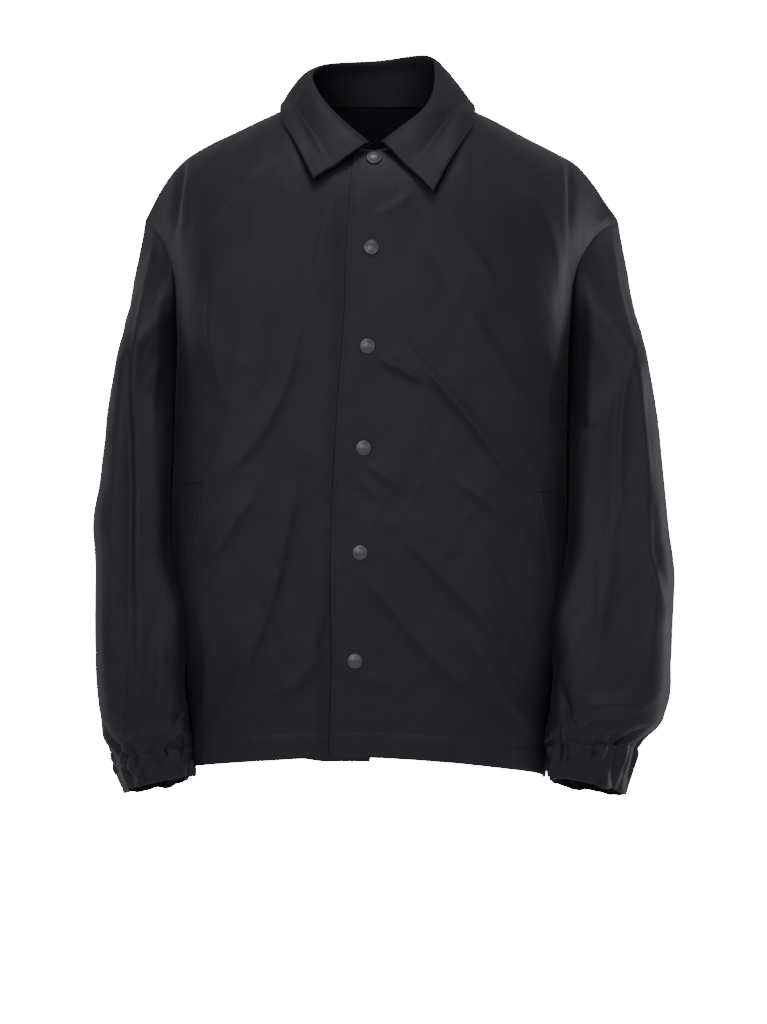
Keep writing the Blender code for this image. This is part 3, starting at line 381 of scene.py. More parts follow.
def solid(name, points, faces, corner, cut):
    """A mesh object from points, faces of one length, and each face corner's place on the cloth."""
    mesh = bpy.data.meshes.new(name)
    sides = faces.shape[1]
    mesh.vertices.add(len(points))
    mesh.vertices.foreach_set("co", np.ascontiguousarray(points, np.float32).ravel())
    mesh.loops.add(faces.size)
    mesh.loops.foreach_set("vertex_index", np.ascontiguousarray(faces, np.int32).ravel())
    mesh.polygons.add(len(faces))
    mesh.polygons.foreach_set("loop_start", np.arange(0, faces.size, sides, dtype=np.int32))
    mesh.polygons.foreach_set("use_smooth", np.ones(len(faces), bool))
    mesh.update(calc_edges=True)
    if corner is not None:
        layer = mesh.uv_layers.new(name="cloth")
        layer.data.foreach_set("uv", np.ascontiguousarray(corner, np.float32).ravel())
    mesh.set_sharp_from_angle(angle=math.radians(60))
    made = bpy.data.objects.new(name, mesh)
    bpy.context.scene.collection.objects.link(made)
    mesh.materials.append(cut)
    return made


def linear(hex_colour):
    """A #RRGGBB colour as linear light."""
    value = np.array([int(hex_colour[k : k + 2], 16) for k in (1, 3, 5)]) / 255
    value = np.where(value <= 0.04045, value / 12.92, ((value + 0.055) / 1.055) ** 2.4)
    return (*map(float, value), 1.0)


def add(tree, kind, inputs=None, **settings):
    """Adds a node. inputs gives each socket a value, or the output that feeds it."""
    node = tree.nodes.new(kind)
    for key, value in settings.items():
        setattr(node, key, value)
    for key, value in (inputs or {}).items():
        if isinstance(value, bpy.types.NodeSocket):
            tree.links.new(value, node.inputs[key])
        else:
            node.inputs[key].default_value = value
    return node


# Plain-woven nylon, dyed black with a soft calendered finish: near black, matt, with a faint sheen where it
# turns away. Real threads are 0.2 mm apart, too fine to show, so the weave is drawn at 0.7 mm.
NYLON_DARK = "#110F15"
NYLON_LIGHT = "#16141B"
THREAD = 0.0007


def finish(name, values):
    """A new material whose shader has these values, with its node tree and its texture places."""
    made = bpy.data.materials.new(name)
    made.use_nodes = True
    for key, value in values.items():
        made.node_tree.nodes["Principled BSDF"].inputs[key].default_value = value
    return made, made.node_tree, add(made.node_tree, "ShaderNodeTexCoord").outputs


def feed(tree, socket, output):
    """Links an output to one of the shader's sockets."""
    tree.links.new(output, tree.nodes["Principled BSDF"].inputs[socket])


def noise(tree, place, scale, detail):
    """Noise at a scale: a share that drifts about the middle."""
    return add(tree, "ShaderNodeTexNoise", {"Vector": place, "Scale": scale, "Detail": detail}).outputs["Fac"]


def coloured(tree, share, dark, light):
    """Feeds the shader a colour between two. A Mix node has several A and B sockets, so these are set by
    their place."""
    mix = add(tree, "ShaderNodeMix", {"Factor": share, 6: linear(dark), 7: linear(light)}, data_type="RGBA")
    feed(tree, "Base Color", mix.outputs[2])


def woven_nylon(name, sheen=0.06):
    """The cloth's finish: colour drifting a little over patches of 8 cm and specks of 3 mm, a weave of
    crossed bands on the cloth's own map, and fine pucker in the bump."""
    made, tree, place = finish(name, {
        "IOR": 1.5, "Specular IOR Level": 0.30, "Specular Tint": linear("#F5F2FF"), "Sheen Weight": sheen,
        "Sheen Roughness": 0.45, "Sheen Tint": linear("#CBC9D5"),
    })
    cloth = place["UV"]
    patch = noise(tree, cloth, 12.0, 3.0)
    both = add(tree, "ShaderNodeMath", {0: patch, 1: noise(tree, cloth, 330.0, 2.0)}, operation="ADD")
    share = add(tree, "ShaderNodeMapRange", {"Value": both.outputs[0], "From Min": 0.7, "From Max": 1.3})
    coloured(tree, share.outputs[0], NYLON_DARK, NYLON_LIGHT)
    gloss = add(tree, "ShaderNodeMapRange",
                {"Value": patch, "From Min": 0.3, "From Max": 0.7, "To Min": 0.50, "To Max": 0.60})
    feed(tree, "Roughness", gloss.outputs[0])
    wave = {"Vector": cloth, "Scale": 0.314 / THREAD, "Distortion": 0.6, "Detail": 1.0, "Detail Scale": 0.3}
    ways = (add(tree, "ShaderNodeTexWave", wave, bands_direction=way) for way in ("X", "Y"))
    warp, weft = (way.outputs["Fac"] for way in ways)
    weave = add(tree, "ShaderNodeMath", {0: warp, 1: weft}, operation="MULTIPLY")
    fine = add(tree, "ShaderNodeBump", {"Strength": 0.35, "Distance": 0.00012, "Height": weave.outputs[0]})
    pucker = noise(tree, cloth, 210.0, 3.0)
    bump = add(tree, "ShaderNodeBump",
               {"Strength": 0.30, "Distance": 0.0006, "Height": pucker, "Normal": fine.outputs[0]})
    feed(tree, "Normal", bump.outputs[0])
    return made


def stitch_row(name, line, out, cut, long=0.0024, pitch=0.0033, thick=0.00032):
    """Topstitching: spindles lying along a line on the cloth, one to each pitch. A spindle is two rings of
    four points between two tips, so it has sixteen faces."""
    along = lengths(line)
    middles = np.arange(pitch / 2, along[-1] - pitch / 2, pitch)
    ahead = unit(np.gradient(line, axis=0))
    spot, run, up = (placed_at(middles, along, part) for part in (line, ahead, out))
    run, up = unit(run), unit(up)
    side = unit(np.cross(run, up))
    turn = np.arange(4) * math.pi / 2
    # along, aside and up shares of each of a spindle's ten points
    shape = [(-0.5, 0.0, -0.7)]
    for share in (-0.32, 0.32):
        shape += [(share, math.cos(t), math.sin(t)) for t in turn]
    shape += [(0.5, 0.0, -0.7)]
    shape = np.array(shape)
    ahead_by, aside_by, up_by = shape[:, 0] * long, shape[:, 1] * thick, shape[:, 2] * thick * 0.8 + 0.0002
    points = spot[:, None] + run[:, None] * ahead_by[:, None] + side[:, None] * aside_by[:, None]
    points = points + up[:, None] * up_by[:, None]
    tri = []
    for k in range(4):
        n = (k + 1) % 4
        tri += [(0, 1 + n, 1 + k), (1 + k, 1 + n, 5 + n), (1 + k, 5 + n, 5 + k), (5 + k, 5 + n, 9)]
    faces = (np.array(tri)[None] + len(shape) * np.arange(len(middles))[:, None, None]).reshape(-1, 3)
    points = points.reshape(-1, 3)
    return solid(name, points, wound_out(points, faces), None, cut)


def sewing_thread():
    """Spun polyester thread, black, a little shinier than the cloth it lies on."""
    made, tree, place = finish("spun black thread", {"Roughness": 0.5, "Specular IOR Level": 0.35})
    twist = noise(tree, place["Object"], 900.0, 2.0)
    coloured(tree, twist, "#1B1A21", "#2A2930")
    bump = add(tree, "ShaderNodeBump", {"Strength": 0.4, "Distance": 0.0002, "Height": twist})
    feed(tree, "Normal", bump.outputs[0])
    return made


def hemmed(height, u, to_hem, seed):
    """A panel's relief with its turned-up hem: calmer folds, a second layer below the stitch line, a groove
    at the stitches, and a faint ripple where the machine's feed pulled the layers."""
    layer = 0.0005 * (1 - smooth(to_hem, HEM_DEEP - 0.003, HEM_DEEP + 0.003))
    groove = -0.0004 * np.exp(-(((to_hem - HEM_DEEP) / 0.0018) ** 2))
    pulled = rough(u / 0.014, u * 0, seed)
    ripple = 0.0007 * pulled * np.exp(-(((to_hem - 0.5 * HEM_DEEP) / 0.016) ** 2))
    return height * (0.55 + 0.45 * smooth(to_hem, 0.0, 0.05)) + (layer + groove + ripple)


def rounded_edge(distance, radius=0.0011):
    """How far a folded edge turns in: a quarter round of this radius at the edge."""
    near = np.clip(radius - distance, 0.0, radius)
    return -(radius - np.sqrt(np.maximum(radius**2 - near**2, 0.0))) * 0.8


# Back folds in mm, seen from the front: half width, height, steeper side, then x, z along the fold
BACK_FOLDS = (
    (10, 4.6, 1, -150, -70, -136, -150, -118, -240),
    (10, 4.6, -1, 152, -75, 138, -160, 120, -245),
    (8, 3.0, 1, -60, -50, -38, -105, -14, -150),
    (9, 3.6, -1, 70, -60, 44, -120, 30, -190),
    (8, 4.0, 1, 26, -190, 52, -262, 92, -335),
    (8, 4.4, -1, -92, -230, -66, -305, -26, -385),
    (8, 5.4, 1, -176, -292, -128, -365, -72, -452),
    (8, 5.4, -1, 170, -285, 128, -362, 70, -458),
    (7, 3.6, 1, -20, -392, 4, -470, 44, -566),
    (8, 4.8, -1, 136, -462, 110, -540, 82, -640),
    (8, 4.6, 1, -142, -470, -118, -560, -96, -655),
    (7, 3.2, -1, -46, -512, -30, -590, -8, -662),
    (6, 2.6, 1, 100, -240, 132, -262, 170, -270),
    (6, 2.6, -1, -104, -236, -140, -256, -176, -262),
    (9, -3.0, 0, 0, -250, 6, -330, -10, -420),
    (7, -2.6, 0, 150, -520, 140, -600, 146, -660),
)
# Creases where the dropped shoulder turns down over the arm, on the fronts and behind, given as the folds
SIDE_VALLEYS = (
    (3.4, -5.2, 0, -196, -40, -199, -70, -202, -100, -205, -138),
    (4.5, 2.4, 0, -189, -48, -192, -80, -194, -120, -197, -170),
    (3.4, -5.2, 0, 194, -48, 194, -80, 193, -110, 193, -142),
    (4.5, 2.4, 0, 187, -56, 187, -90, 186, -130, 187, -180),
)
BACK_VALLEYS = (
    (4.0, -4.6, 0, -188, -60, -189, -100, -188, -150),
    (4.0, -4.6, 0, 188, -62, 188, -104, 188, -152),
)

NECK_COLS = 30
SHOULDER_COLS = 52


def spans(row, start, first_share, neck_cols, shoulder_cols, sign):
    """Shares across a row for one half: even steps to the neck's share, then even steps to the end."""
    widths, _ = half_widths(row)
    shares = np.concatenate([
        np.linspace(0, first_share, neck_cols + 1),
        np.linspace(first_share, 1, shoulder_cols + 1)[1:],
    ])
    return sign * (start + shares * (widths[sign] - start)) / widths[sign]


back_rows = dense_rows("back")
top_widths, top_necks = half_widths(back_rows[0])
back_grid = []
for row in back_rows:
    left, right = (
        spans(row, 0.0, top_necks[sign] / top_widths[sign], NECK_COLS, SHOULDER_COLS, sign)
        for sign in (-1, 1)
    )
    back_grid.append(along_row(row, np.concatenate([left[::-1], right[1:]])))
back_grid = np.array(back_grid)
FOR_BACK = np.array((0.0, 1.0, 0.0))
FOR_FRONT = np.array((0.0, -1.0, 0.0))


def dressed(grid, outward, folds, seed, left_seam):
    """A panel's directions out and its relief along them: placed folds, soft folds and fine creasing, calmed
    at the seams, and the seams' puckers. Also the places on the cloth and the distance to a side seam."""
    out = facing_out(grid, outward)
    u, v = measured(grid)
    turn = smooth(np.abs(out[..., 1]), 0.05, 0.45)
    low = smooth(v, 0.10, 0.40)
    height = placed_folds(grid[..., 0], grid[..., 2], folds) * turn
    height += 0.0009 * soft_folds(u, v, seed, 0.048, 0.19, 0.12) * (0.5 + 0.5 * low)
    height += 0.0004 * soft_folds(u, v, seed + 3, 0.026, 0.085, -0.65)
    height += 0.0004 * soft_folds(u, v, seed + 5, 0.030, 0.100, 0.75)
    height += 0.00018 * crumple(u, v, seed + 7)
    edge = np.minimum(u if left_seam else FAR, u[:, -1:] - u)
    calm = smooth(edge, 0.0, 0.022) * smooth(v, 0.0, 0.020)
    height *= calm
    # puckers drawn up along the seams' stitches
    pull = rough(v / 0.011, u * 0, seed + 9) + 0.6 * rough(v / 0.026, u * 0, seed + 11)
    height += 0.00075 * pull * np.exp(-((edge / 0.011) ** 2)) * (1 - np.exp(-((edge / 0.003) ** 2)))
    return out, height, u, v, edge


back_out, back_height, back_u, back_v, back_edge = dressed(
    back_grid, FOR_BACK, BACK_FOLDS + BACK_VALLEYS, 41, True
)
to_hem = back_v[-1:] - back_v
back_height = hemmed(back_height, back_u, to_hem, 61)
back_height = back_height + sunk(np.minimum(back_edge, back_v)) + rounded_edge(to_hem)

# The fronts
# Two panels of the same cloth. The wearer's left one laps over the right by 20 mm at the placket, faced
# inside and stitched 6 mm from its folded edge; both hems are turned up 25 mm and stitched.
OVERLAP = 0.0205
UNDER = 0.0017  # how far the under front lies behind the top one
FACING = 0.036  # double cloth along the placket's edge
EDGE_STITCH = 0.0065  # stitches inside the folded edge
LAP_COLS = 18
FRONT_NECK_COLS = 36
FRONT_SHOULDER_COLS = 86
# Folds in mm, seen from the front: half width, height, steeper side, then x, z along the fold
FRONT_FOLDS = (
    (6.5, 3.5, 1, -1, -256, 24, -269, 48, -282),
    (7.0, 4.9, 1, 32, -249, 68, -292, 102, -333, 127, -368, 151, -398),
    (12.9, 3.3, -1, 83, -196, 106, -237, 137, -288, 160, -322),
    (7.0, -2.1, 0, 27, -232, 65, -278),
    (5.9, 2.3, 1, -11, -361, 19, -383),
    (5.3, 1.8, 1, -21, -375, 3, -397),
    (8.8, 3.5, 1, 69, -373, 102, -395, 134, -423, 160, -467),
    (8.2, 3.5, 1, 27, -432, 65, -475, 102, -515, 136, -562),
    (8.2, 3.7, 1, -15, -470, 17, -508, 47, -547, 79, -577, 111, -611),
    (9.4, 3.0, 1, 83, -520, 120, -581, 150, -625),
    (5.9, 1.7, 1, -15, -567, 12, -585),
    (9.4, 1.8, -1, -6, -121, 33, -94),
    (10.5, 2.7, 1, 132, -78, 164, -113, 177, -150, 180, -190),
    (10.5, 2.6, -1, 71, -123, 102, -162, 120, -199),
    (9.4, -2.3, 0, 51, -150, 76, -199),
    (9.4, 2.3, -1, 179, -229, 167, -298, 175, -352),
    (15.3, 2.3, 0, -128, -188, -136, -249, -146, -318),
    (9.4, 2.4, -1, -75, -219, -92, -288, -117, -335, -138, -360, -168, -390),
    (9.4, 3.2, -1, -118, -386, -153, -438, -171, -467),
    (7.7, 3.8, -1, -78, -377, -92, -443, -104, -495, -131, -565, -149, -611),
    (7.7, 2.4, -1, -56, -549, -79, -577, -106, -590),
    (10.0, 3.2, -1, -108, -62, -141, -92, -175, -132),
    (10.5, 2.3, 1, -47, -111, -59, -162, -55, -209),
    (9.4, 2.1, 1, -163, -162, -167, -229, -153, -298),
    (8.2, -2.0, 0, -104, -199, -108, -278, -130, -318),
    (8.2, 2.1, -1, -47, -455, -55, -514, -69, -561),
    (9.4, 2.1, 1, -179, -495, -170, -554, -175, -613),
    (7.0, -2.0, 0, 91, -416, 120, -455, 140, -495),
)


def front_panel(sign):
    """Grid of one front, its columns running from the placket's edge out to the side seam."""
    rows = dense_rows("front")
    widths, necks = half_widths(rows[0])
    first = (necks[sign] - OVERLAP) / (widths[sign] - OVERLAP)
    # close columns at the folded edge, then even ones up to the far side of the lap
    lap = np.concatenate([[-1.0, -0.985, -0.95, -0.90, -0.83], np.linspace(-0.72, 1.0, LAP_COLS - 4)])[:-1]
    grid = []
    for row in rows:
        mine, _ = half_widths(row)
        inner = lap * OVERLAP * sign
        inner = np.where(inner * sign < 0, inner / mine[-sign], inner / mine[sign])
        outer = spans(row, OVERLAP, first, FRONT_NECK_COLS, FRONT_SHOULDER_COLS, sign)
        grid.append(along_row(row, np.concatenate([inner, outer])))
    return np.array(grid)


grids = {"back": back_grid, "front_left": front_panel(1), "front_right": front_panel(-1)}
outs, heights = {"back": back_out}, {"back": back_height}
for name, seed in (("front_left", 71), ("front_right", 91)):
    grid = grids[name]
    out, height, u, v, edge = dressed(grid, FOR_FRONT, FRONT_FOLDS + SIDE_VALLEYS, seed, False)
    to_hem = v[-1:] - v
    height = hemmed(height, u, to_hem, seed + 13)
    # the placket is stiffer than the single cloth, so folds fade on it
    stiff = smooth(u, 0.010, FACING)
    if name == "front_left":
        height *= 0.45 + 0.55 * stiff
        off = u - EDGE_STITCH
        height -= 0.0005 * np.exp(-((off / 0.0016) ** 2))
        height += 0.0005 * rough(v / 0.017, u * 0, seed + 17) * np.exp(-((off / 0.008) ** 2))
    else:
        height *= smooth(u, 0.030, 0.062)
        snap_x = read(SNAP_LINE, grid[..., 2], 1)
        behind = smooth(grid[..., 0] - snap_x, -0.040, -0.0235)
        height -= (UNDER + 0.0010 * smooth(-grid[..., 2], 0.44, 0.56)) * behind
        # its hem hangs a little lower where it lies under the other front
        low = smooth(-grid[..., 2], 0.60, 0.66) * smooth(grid[..., 0] - snap_x, -0.05, -0.022)
        grid = grid + np.stack([0 * low, 0 * low, -0.0045 * low], axis=-1)
        grids[name] = grid
    outs[name] = out
    heights[name] = height + sunk(np.minimum(edge, v)) + rounded_edge(to_hem) + rounded_edge(u, 0.0008)


def off_seam(points, out, toward):
    """The small move of a piece's edge at a seam, square to its line and to the cloth, on toward's side."""
    across = unit(np.cross(np.gradient(points, axis=0), out))
    return across * np.sign(np.sum(across * toward, axis=1, keepdims=True)) * SEAM_HALF


def armhole_out(points):
    """Direction out of an armhole's loop at each of its points."""
    away = points - points.mean(axis=0)
    away[:, 0] *= 0.35
    return unit(away)


# Sides: both panels take one direction along the side seam, mostly sideways
for front, edge in (("front_right", 0), ("front_left", -1)):
    both = unit(unit(outs[front][ARM:, -1] + outs["back"][ARM:, edge]) * (1.0, 0.3, 1.0))
    outs[front][ARM:, -1] = both
    outs["back"][ARM:, edge] = both
# Shoulders: the seam lines share their ends, so the back's directions are read along the front's columns
shoulder_front = slice(-FRONT_SHOULDER_COLS - 1, None)
for front, part, turned in (
    ("front_right", slice(0, SHOULDER_COLS + 1), True),
    ("front_left", slice(-SHOULDER_COLS - 1, None), False),
):
    mine, other = outs[front][0, shoulder_front], outs["back"][0, part]
    other = other[::-1] if turned else other
    at_front = np.linspace(0, 1, len(mine))
    at_back = np.linspace(0, 1, len(other))
    both = unit(mine + placed_at(at_front, at_back, other))
    outs[front][0, shoulder_front] = both
    both = unit(placed_at(at_back, at_front, both))
    outs["back"][0, part] = both[::-1] if turned else both
# Armholes: loops from the shoulder tip by way of the front to the underarm and up the back
loops = {}
for side, front, edge in (("left", "front_left", -1), ("right", "front_right", 0)):
    forward = grids[front][: ARM + 1, -1]
    rear = grids["back"][: ARM + 1, edge]
    loop = np.concatenate([forward, rear[ARM - 1 : 0 : -1]])
    out = armhole_out(loop)
    loops[side] = (loop, out)
    outs[front][: ARM + 1, -1] = out[: ARM + 1]
    outs["back"][: ARM + 1, edge] = np.concatenate([out[:1], out[: ARM - 1 : -1]])
raised = {name: grids[name] + outs[name] * heights[name][..., None] for name in grids}
for front, edge in (("front_right", 0), ("front_left", -1)):
    for name, column, toward in ((front, -1, FOR_FRONT), ("back", edge, FOR_BACK)):
        raised[name][ARM:, column] += off_seam(grids[name][ARM:, column], outs[name][ARM:, column], toward)
        points = grids[name][: ARM + 1, column]
        inward = np.array((1.0, 0.0, 0.0)) * -np.sign(points[0, 0])
        raised[name][: ARM + 1, column] += off_seam(points, outs[name][: ARM + 1, column], inward)
for name, part, toward in (
    ("front_right", shoulder_front, FOR_FRONT),
    ("front_left", shoulder_front, FOR_FRONT),
    ("back", slice(0, SHOULDER_COLS + 1), FOR_BACK),
    ("back", slice(-SHOULDER_COLS - 1, None), FOR_BACK),
):
    raised[name][0, part] += off_seam(grids[name][0, part], outs[name][0, part], toward)

body_cloth = woven_nylon("woven black nylon")
thread = sewing_thread()
shells = {}
for name in ("back", "front_left", "front_right"):
    shells[name] = shell(name + "_shell", raised[name], outs[name], body_cloth)


def hem_line(name):
    """Line across a panel, the hem's depth above its lower edge."""
    _, v = measured(grids[name])
    back_from_hem = v[-1] - v
    c = np.arange(v.shape[1])
    rows = np.array([np.interp(-HEM_DEEP, -back_from_hem[:, k], np.arange(len(v))) for k in c])
    low = np.floor(rows).astype(int)
    part = (rows - low)[:, None]
    line = raised[name][low, c] * (1 - part) + raised[name][low + 1, c] * part
    return line, outs[name][low, c]


# The solids that each whole panel stands for
NODES = {
    "back": ("back_left_upper", "back_left_lower", "back_right_upper", "back_right_lower"),
    "front_left": ("front_left_upper", "front_left_lower"),
    "front_right": ("front_right_upper", "front_right_lower"),
}
for name in NODES:
    line, out = hem_line(name)
    # the stitches stop at the side seams, and at the placket's rounded edge
    part = slice(3, -3) if name == "back" else slice(6, -3)
    sewn = stitch_row(name + "_hem_stitches", line[part], out[part], thread)
    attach(shells[name], "root")
    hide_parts(*NODES[name])
    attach(sewn, "root")
# Placket stitches run down the top front beside its folded edge
placket_u, _ = measured(grids["front_left"])
rows = np.arange(6, len(placket_u) - 3)
line, out = (
    np.array([placed_at(EDGE_STITCH, placket_u[r], part["front_left"][r]) for r in rows])
    for part in (raised, outs)
)
placket_sewn = stitch_row("placket_stitches", line, out, thread)
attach(placket_sewn, "root")

# Sleeves
# Each is one panel closed by an underarm seam and set into the armhole. It hangs nearly straight, folds at
# the elbow, and its lower end is drawn in and blouses over the elastic cuff.
# Sleeve in mm, at each height: outer x, inner x, front y, back y
RING_RIGHT = np.array((
    (-105, -240, -205, -70, 72), (-150, -246.5, -201, -82, 85), (-200, -254, -199.5, -87, 92),
    (-260, -264, -202, -89, 96), (-320, -272, -208, -91, 97), (-370, -277.5, -210.5, -94, 94),
    (-420, -284.5, -211.5, -98, 85), (-455, -282, -212, -101, 74), (-500, -281.8, -211.5, -103, 62),
    (-550, -281.5, -209.5, -105, 50), (-590, -280, -206, -104, 40), (-625, -276, -201.5, -101, 28),
    (-660, -267, -199, -94, 4), (-700, -256, -195, -90, 0),
)) / 1000
RING_LEFT = np.array((
    (-105, 247, 208, -70, 72), (-150, 253, 200, -82, 85), (-200, 261, 196, -87, 92),
    (-260, 272, 196, -89, 96), (-320, 281, 195.5, -91, 97), (-370, 286, 195, -94, 94),
    (-420, 290.5, 194, -98, 85), (-470, 296.5, 193, -102, 72), (-520, 295, 191, -104, 60),
    (-560, 293.5, 189, -106, 50), (-595, 291, 186.5, -106, 42), (-618, 283, 183, -104, 30),
    (-640, 268, 178.5, -96, 8), (-700, 250, 172, -92, 2),
)) / 1000
# Cuff: top z, bottom z at its middle, rise towards +x, rise towards +y
CUFF_PLANE = {"right": (-0.6545, -0.6830, 0.21, -0.16), "left": (-0.6465, -0.6850, -0.20, -0.16)}
# Its upper and lower rings: outer x, inner x, front y, back y
CUFF_TOP = {"right": (-0.2650, -0.1955, -0.092, -0.004), "left": (0.2600, 0.1760, -0.094, -0.002)}
CUFF_LOW = {"right": (-0.2545, -0.1905, -0.086, -0.010), "left": (0.2470, 0.1745, -0.088, -0.008)}
SLEEVE_COLS = 2 * ARM
SLEEVE_ROWS = 150
SLEEVE_SEED = {"right": 121, "left": 151}
POUCH = {"right": 0.0010, "left": 0.0030}  # how far the end hangs over the cuff
SEAM_RISE = {"right": CUFF_PLANE["right"][2], "left": -0.03}  # the left cuff's seam is nearly level
CREASES = 24  # drawn in by the elastic round a sleeve's end
HUNG_FORWARD = 0.014
INNER_CLOSER = 0.006
# Folds in mm as on the fronts, for the sides seen from the front
SLEEVE_RIGHT_FOLDS = (
    (4.6, 4, 1, -234, -136, -238, -182, -241, -220, -243, -278, -241, -338, -239, -404, -240, -453,
     -239, -510, -238, -560, -242, -610, -246, -647),
    (4.6, -3.6, 0, -245, -237, -246, -278, -244, -338, -243, -404, -243, -453, -242, -510, -242, -560,
     -246, -610, -249, -647),
    (3.7, 2.8, 1, -227, -124, -231, -160, -236, -197, -239, -232),
    (3.7, 2.5, -1, -245, -545, -249, -585, -252, -625, -252, -647),
    (6.5, -2.6, 0, -213, -488, -218, -513, -223, -540, -225, -567, -226, -595, -229, -627),
    (5, 3, 0, -214, -525, -215, -560, -216, -595, -219, -630),
    (3.7, -3.2, 0, -216, -611, -212, -633, -206, -647),
    (3.7, -3, 0, -234, -600, -235, -625, -233, -647),
    (3.7, 2.5, 0, -201, -589, -207, -611, -202, -643),
    (9, 3, 1, -258, -317, -262, -396, -263, -476, -260, -545),
    (9, 2.6, -1, -221, -177, -218, -237, -222, -307, -220, -376),
)
SLEEVE_LEFT_FOLDS = (
    (3.7, 3.2, -1, 237, -124, 240, -148, 246, -201, 252, -229, 256, -247),
    (3.7, 3.4, 1, 256, -247, 248, -267, 242, -297, 239, -346, 237, -404, 232, -428),
    (3.7, 3.4, -1, 256, -247, 261, -282, 263, -309, 267, -354, 271, -396),
    (3.7, 3.4, -1, 267, -388, 268, -414, 270, -453, 278, -484, 284, -506),
    (6, 2.4, 0, 232, -428, 230, -458, 225, -495, 218, -540),
    (9, 3, 1, 221, -414, 218, -495, 215, -575),
    (8, 2.6, 1, 209, -148, 213, -217, 209, -297, 211, -366),
    (6, -2.6, 0, 198, -317, 209, -328, 221, -327),
    (5, -7.5, 0, 201, -626, 216, -619, 231, -617, 247, -620),
    (7, 5.5, 0, 206, -603, 221, -597, 243, -597, 261, -601),
    (3.7, -5.1, 0, 219, -646, 234, -640, 249, -636),
    (3.7, -8, 0, 181, -577, 186, -600, 193, -625, 201, -646),
    (3.7, -3, 0, 209, -643, 213, -654),
    (8, 3, 1, 275, -456, 272, -515, 268, -565),
)
# And for the sides seen from behind, on the picture-left sleeve; the other one has them mirrored and shifted
REAR_SHIFT = (8, -14)  # mm
REAR_FOLDS = (
    (8, 4.6, 1, -262, -300, -236, -338, -212, -372),
    (7, 4.8, 1, -270, -352, -240, -392, -214, -420),
    (7, 4.2, 1, -272, -420, -246, -446, -216, -462),
    (9, 3.6, -1, -216, -150, -226, -210, -230, -280),
    (8, 3.4, 1, -246, -140, -250, -200, -244, -270),
    (8, 3.6, -1, -270, -480, -262, -540, -250, -610),
    (7, 3.2, 1, -224, -490, -232, -560, -226, -620),
)
# Soft folds laid over both sleeves: height, step of the seed, distance apart, length, lean
SLEEVE_SOFT = (
    (0.0009, 0, 0.040, 0.24, 0.06),
    (0.0004, 3, 0.028, 0.10, 0.55),
    (0.0004, 5, 0.030, 0.10, -0.55),
)


def tube_point(share, outer, inner, front, rear, square=2.35):
    """Place on a sleeve's ring, a squared-off oval: share 0 outer, a quarter front, a half inner. Shares
    count lengths round it; in each direction its reach is (|cos/half x|^n + |sin/half y|^n)^(-1/n)."""
    half_x, half_y = (outer - inner) / 2, (front - rear) / 2

    def at(angle, half_x, half_y, square):
        c, s = np.cos(angle), np.sin(angle)
        reach = (np.abs(c / half_x) ** square + np.abs(s / half_y) ** square) ** (-1 / square)
        return np.stack([reach * c * np.sign(half_x), reach * s * np.sign(half_y)], axis=-1)

    turn = np.linspace(0, 2 * math.pi, 1441)
    along = lengths(at(turn, np.mean(half_x), np.mean(half_y), np.mean(square)))
    angle = np.interp(share * along[-1], along, turn)
    middle = np.stack(np.broadcast_arrays((outer + inner) / 2, (front + rear) / 2), axis=-1)
    return middle + at(angle, half_x, half_y, square)


def tube_out(grid):
    """Direction out of a tube at each point of its grid."""
    across = np.roll(grid, -1, axis=1) - np.roll(grid, 1, axis=1)
    out = unit(np.cross(across, np.gradient(grid, axis=0)))
    away = grid[..., :2] - grid[..., :2].mean(axis=1, keepdims=True)
    return out * np.sign(np.sum(out[..., :2] * away, axis=(1, 2)))[:, None, None]


def gathers(share, count, seed):
    """Uneven gathers round a ring, about this many: crests narrower than the hollows, -1 to 1."""
    full = 2 * math.pi
    drift = 0.30 * np.sin(full * (2 * share + 0.13 * seed)) + 0.22 * np.sin(full * (5 * share + 0.29 * seed))
    wave = np.cos(full * (count * share + drift))
    sizes = 0.70 + 0.30 * np.sin(full * (3 * share + 0.41 * seed))
    return (1 - 2 * np.sqrt((0.5 - 0.5 * wave) ** 2 + 0.004)) * sizes


def leaned(ring, z, outer, inner, front, rear, most=0.018):
    """A sleeve's ring with the inner front of its cloth hanging forward of the body's side: moved towards the
    body below the elbow."""
    middle, half = (outer + inner) / 2, np.abs(outer - inner) / 2
    toward = np.sign(inner - outer)
    in_share = (ring[:, 0] - middle) * toward / half
    forward = ((front + rear) / 2 - ring[:, 1]) / ((rear - front) / 2)
    low = smooth(-z, 0.43, 0.52)
    shift = most * low * smooth(forward, 0.25, 0.75) * smooth(in_share, -0.3, 0.5)
    return ring + np.stack([shift * toward, 0 * shift], axis=-1)


def gathered(along, up, length, seed, count, low, high):
    """Sharp creases where elastic draws cloth in, unevenly along a seam of this length: each leans its own
    way, reaches its own height between low and high, and is a narrow valley with a crest beside it."""
    pick = np.random.default_rng(seed)
    total = np.zeros(np.broadcast(along, up).shape)
    for k in range(count):
        start = (k + pick.uniform(-0.35, 0.35)) / count * length
        lean, bend = pick.uniform(-0.65, 0.65), pick.uniform(-12, 12)
        reach = pick.uniform(low, high)
        wide, deep = pick.uniform(0.0021, 0.0040), pick.uniform(0.0014, 0.0036)
        off = along - start - lean * up - bend * up * up
        off = off - length * np.round(off / length)
        fade = 1 - smooth(up, 0.35 * reach, reach)
        valley = np.exp(-1.4 * np.abs(off) / wide)
        crest = np.exp(-(((off - 1.9 * wide * np.sign(lean)) / (1.5 * wide)) ** 2))
        total += deep * fade * (0.75 * crest - valley)
    return total


column_share = np.arange(SLEEVE_COLS) / SLEEVE_COLS


